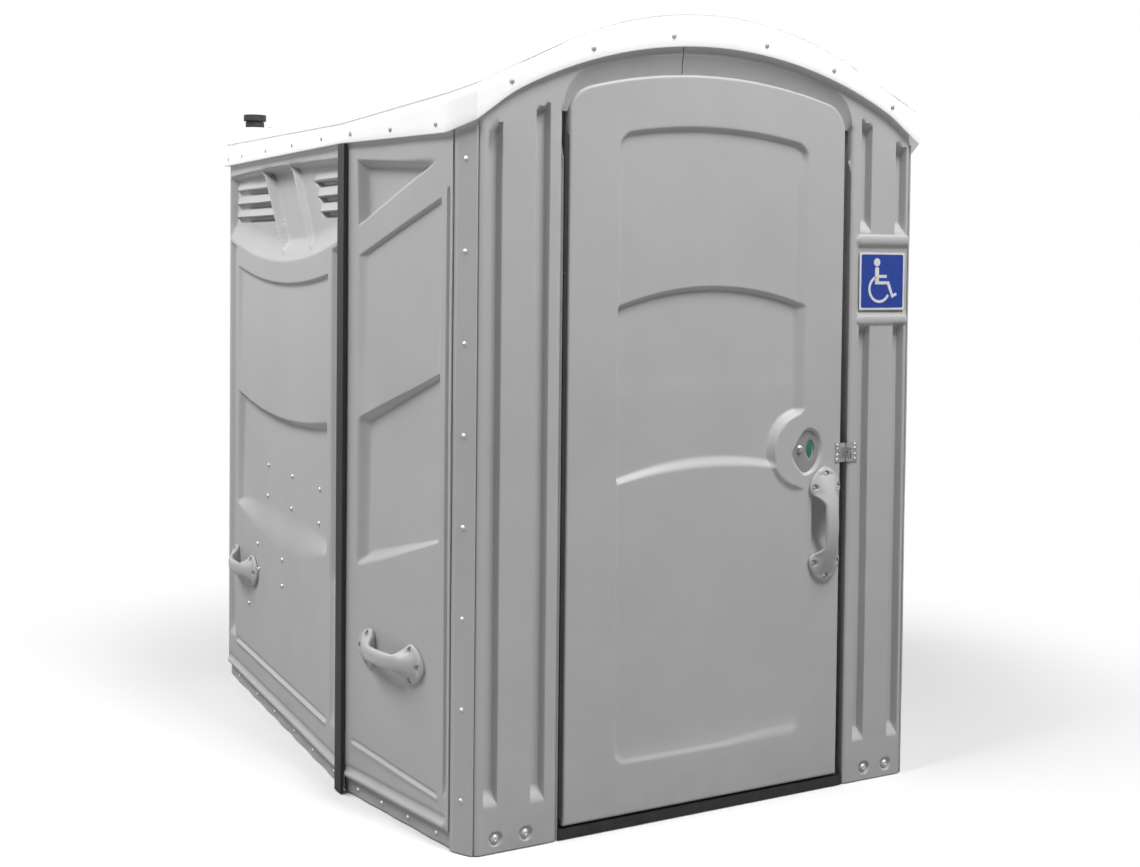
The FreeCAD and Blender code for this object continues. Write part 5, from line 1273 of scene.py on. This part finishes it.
# Waste tank and deck. The tank is a grey polyethylene box moulded with soft corners, fixed along the left of
# the back wall. Its lid is a thick deck with an oval opening under the seat and a round one for the vent.
tank_finish = moulded_plastic("grey tank", (0.25, 0.255, 0.26), 0.46, 0.00012, 0.6)
deck_finish = moulded_plastic("grey deck", (0.31, 0.315, 0.32), 0.40, 0.00008, 0.8)
paint("waste_tank", tank_finish)
soften("waste_tank", 0.009, 4)
paint("tank_deck", deck_finish)
soften("tank_deck", 0.0035, 3)
rib_points, rib_faces = [], []
rib_profile = [
    (-0.014, 0.0), (-0.0125, 0.0032), (-0.0100, 0.0045), (0.0100, 0.0045), (0.0125, 0.0032), (0.014, 0.0),
]
levels = np.concatenate([
    [0.070], 0.070 + 0.014 * np.linspace(0.2, 1.0, 5), np.linspace(0.10, 0.38, 12), [0.386, 0.392, 0.398],
])
for middle in (-0.640, -0.450, -0.260, -0.070, 0.090):
    start = len(rib_points)
    for level in levels:
        share = float(ease(0.068, 0.088, level) * ease(0.400, 0.380, level))
        for across, proud in rib_profile:
            rib_points.append((middle + across, 0.3802 - proud * share, level))
    width = len(rib_profile)
    for row in range(len(levels) - 1):
        for step in range(width - 1):
            corner = start + row * width + step
            rib_faces.append([corner, corner + 1, corner + width + 1, corner + width])
ribs = new_piece("tank_front_ribs", rib_points, rib_faces, "cabin", tank_finish, 50.0)
deck_top = 0.4368
places = [((across, 0.388, deck_top), upwards) for across in (-0.74, -0.10, 0.19)]
places += [((across, 0.955, deck_top), upwards) for across in (-0.60, -0.08, 0.19)]
deck_screws = turned("deck_screw_heads", screw_dome, places, "cabin", screw_steel, 18)

# Seat and lid. Black injection-moulded plastic, an open-fronted ring and a flat lid, each with two knuckles
# that turn on a steel rod held by two posts bolted through the deck.
seat_finish = moulded_plastic("black seat", (0.022, 0.022, 0.023), 0.24, 0.000012, 0.6)
for node, radius in (("toilet_seat", 0.0065), ("toilet_lid", 0.0035)):
    paint(node, seat_finish)
    soften(node, radius, 5)
paint("seat_hinge_posts", seat_finish)
soften("seat_hinge_posts", 0.002, 3)
paint("seat_hinge_rod", dull_steel)
soften("seat_hinge_rod", 0.0008, 3)

# Grab bars. Satin stainless tube about 32 mm across, bent back at its ends and welded to plates that are
# screwed through the wall. One runs along the left wall beside the seat and one across the back.
def satin_steel():
    finish = Finish("satin stainless", Metallic=1.0)
    lines = finish.grain(60.0, 3.0, 0.7, at=finish.stretched(1.0, 1.0, 26.0))
    clouds = finish.grain(7.0, 4.0, 0.6)
    prints = finish.grain(26.0, 4.0, 0.6).between(0.60, 0.76)
    colour = finish.blend(clouds.between(0.3, 0.7), (0.52, 0.52, 0.515, 1.0), (0.64, 0.64, 0.635, 1.0))
    finish.feed("Base Color", finish.blend(prints * 0.2, colour, (0.42, 0.415, 0.40, 1.0)))
    finish.feed("Roughness", 0.24 + lines * 0.10 + prints * 0.12)
    finish.relief(lines, 0.00002)
    return finish.material


stainless = satin_steel()
for node in ("grab_bar_side", "grab_bar_back"):
    paint(node, stainless)
    soften(node, 0.0012, 2)

# Paper holder. A black moulded plate screwed to the left wall with three arms and a spindle through them, which
# carries two rolls of soft white paper wound on card cores.
holder_finish = moulded_plastic("black holder", (0.032, 0.032, 0.034), 0.34, 0.00003, 0.7)
for node, radius in (("paper_holder", 0.0018), ("paper_spindle", 0.0010)):
    paint(node, holder_finish)
    soften(node, radius, 3)


def soft_paper():
    finish = Finish("soft paper", Roughness=0.95, Sheen_Weight=0.15)
    fibres = finish.grain(900.0, 3.0, 0.7)
    waves = finish.grain(40.0, 3.0)
    cells = {"Vector": finish.place(), "Scale": 190.0}
    quilted = finish.node("TexVoronoi", {"feature": "F1"}, cells, "Distance")
    off_axis = finish.node("VectorMath", {"operation": "LENGTH"}, {0: finish.stretched(1.0, 0.0, 1.0)}, "Value")
    card = 1 - off_axis.between(0.0205, 0.0212)
    colour = finish.blend(fibres.between(0.2, 0.8), (0.76, 0.755, 0.74, 1.0), (0.86, 0.86, 0.85, 1.0))
    finish.feed("Base Color", finish.blend(card, colour, (0.42, 0.33, 0.23, 1.0)))
    finish.relief(quilted.between(0.1, 0.7) + fibres * 0.3 + waves, 0.00025)
    return finish.material


paper_finish = soft_paper()
roll_axis = Vector((-0.032427, -0.999474, 0.0))
roll_across = Vector((0.999474, -0.032427, 0.0))


def paper_roll(name, centre, node, body):
    """A wound roll about its own origin: layered ends, a card core and the sheet's loose end on its outside."""
    ends = []
    for step in range(26):
        radius = 0.0212 + (0.0530 - 0.0212) * step / 25
        ends.append((radius, 0.0512 + 0.0005 * math.sin(step * 2.1) + 0.0004 * math.sin(step * 5.3)))
    outer = [(0.0534, level) for level in np.linspace(0.050, -0.050, 13)]
    core = [(0.0190, level) for level in np.linspace(-0.0502, 0.0502, 9)]
    profile = [(0.0190, 0.0508), (0.0205, 0.0510)] + ends + outer
    profile += [(radius, -level) for radius, level in reversed(ends)]
    profile += [(0.0205, -0.0510), (0.0190, -0.0508)] + core
    around = 96
    points, faces = [], []
    for step in range(around):
        angle = 2 * math.pi * step / around
        for radius, level in profile:
            if radius > 0.045:
                radius += 0.0007 * (step / (around - 1)) + 0.0003 * math.sin(3 * angle + 9 * level)
            points.append((radius * math.cos(angle), level, radius * math.sin(angle)))
    width = len(profile)
    for step in range(around):
        for side in range(width):
            near = step * width + side
            over = step * width + (side + 1) % width
            far = ((step + 1) % around) * width
            faces.append([near, over, far + (side + 1) % width, far + side])
    roll = new_piece(name, points, faces, body, paper_finish, 35.0)
    turn = Matrix((roll_across, -roll_axis, (0, 0, 1))).transposed()
    roll.matrix_world = Matrix.Translation(centre) @ turn.to_4x4()
    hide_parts(node)


paper_roll("paper_roll_front_wound", (-0.7807, 0.3397, 0.535), "paper_roll_front", "roll_front")
paper_roll("paper_roll_rear_wound", (-0.7749, 0.5196, 0.535), "paper_roll_rear", "roll_rear")

# Stage, light and the photograph's view. A plain white floor that keeps the cabin's shadow, two soft lamps high
# on the left, a stronger one above the front, and a weak even fill from the world.
def studio_floor():
    """White to the camera away from the cabin, and a mid grey in the light it throws back."""
    finish = Finish("studio floor", Roughness=0.9)
    nodes = finish.tree.nodes
    away = finish.node("VectorMath", {"operation": "LENGTH"}, {0: finish.place()}, "Value")
    glow = nodes.new("ShaderNodeEmission")
    mix = nodes.new("ShaderNodeMixShader")
    light_path = nodes.new("ShaderNodeLightPath")
    camera_ray = Value(finish, light_path.outputs["Is Camera Ray"])
    finish.feed("Base Color", finish.blend(camera_ray, (0.34, 0.34, 0.34, 1.0), (0.92, 0.92, 0.92, 1.0)))
    seen = camera_ray * away.between(1.3, 2.8)
    finish.tree.links.new(seen.socket, mix.inputs[0])
    finish.tree.links.new(finish.shader.outputs[0], mix.inputs[1])
    finish.tree.links.new(glow.outputs[0], mix.inputs[2])
    finish.tree.links.new(mix.outputs[0], nodes["Material Output"].inputs["Surface"])
    return finish.material


bpy.ops.mesh.primitive_plane_add(size=60.0, location=(0.0, 0.0, -0.0005))
floor = bpy.context.object
floor.name = "studio_floor"
floor.data.materials.append(studio_floor())


cabin_middle = Vector((0.0, 0.0, 1.1))


def lamp(name, place, size, power):
    """A square soft lamp that looks at the cabin's middle."""
    data = bpy.data.lights.new(name, "AREA")
    data.shape = "SQUARE"
    data.size = size
    data.energy = power
    lamp_object = bpy.data.objects.new(name, data)
    lamp_object.location = place
    lamp_object.rotation_euler = (cabin_middle - Vector(place)).to_track_quat("-Z", "Y").to_euler()
    bpy.context.scene.collection.objects.link(lamp_object)


lamp("left rear", (-4.8, 3.2, 7.6), 3.6, 390.0)
lamp("left", (-5.0, -0.9, 7.0), 2.4, 250.0)
lamp("above front", (0.9, -3.9, 7.2), 2.8, 500.0)

world = bpy.data.worlds.new("studio")
world.use_nodes = True
bpy.context.scene.world = world
nodes = world.node_tree.nodes
links = world.node_tree.links
fill = nodes["Background"]
fill.inputs["Color"].default_value = (1.0, 1.0, 1.0, 1.0)
fill.inputs["Strength"].default_value = 0.10
backdrop = nodes.new("ShaderNodeBackground")
backdrop.inputs["Color"].default_value = (1.0, 1.0, 1.0, 1.0)
light_path = nodes.new("ShaderNodeLightPath")
seen = light_path.outputs["Is Camera Ray"]
for ray in ("Is Glossy Ray", "Is Transmission Ray"):
    either = nodes.new("ShaderNodeMath")
    either.operation = "MAXIMUM"
    links.new(seen, either.inputs[0])
    links.new(light_path.outputs[ray], either.inputs[1])
    seen = either.outputs[0]
mix = nodes.new("ShaderNodeMixShader")
links.new(seen, mix.inputs[0])
links.new(fill.outputs[0], mix.inputs[1])
links.new(backdrop.outputs[0], mix.inputs[2])
links.new(mix.outputs[0], nodes["World Output"].inputs["Surface"])

yaw = math.radians(28.47)
pitch = math.radians(1.78)
roll = math.radians(-0.59)
ahead = Vector((math.sin(yaw) * math.cos(pitch), math.cos(yaw) * math.cos(pitch), -math.sin(pitch)))
level_right = Vector((math.cos(yaw), -math.sin(yaw), 0.0))
level_down = ahead.cross(level_right)
right = math.cos(roll) * level_right + math.sin(roll) * level_down
down = math.cos(roll) * level_down - math.sin(roll) * level_right
lens = bpy.data.cameras.new("photograph")
lens.sensor_fit = "HORIZONTAL"
lens.sensor_width = 36.0
lens.lens = 47.43
lens.shift_y = -0.1145
camera = bpy.data.objects.new("photograph", lens)
turn = Matrix((right, -down, -ahead)).transposed()
camera.matrix_world = Matrix.Translation((-2.4131, -4.609, 1.6093)) @ turn.to_4x4()
bpy.context.scene.collection.objects.link(camera)
bpy.context.scene.camera = camera
bpy.context.scene.view_settings.view_transform = "Standard"
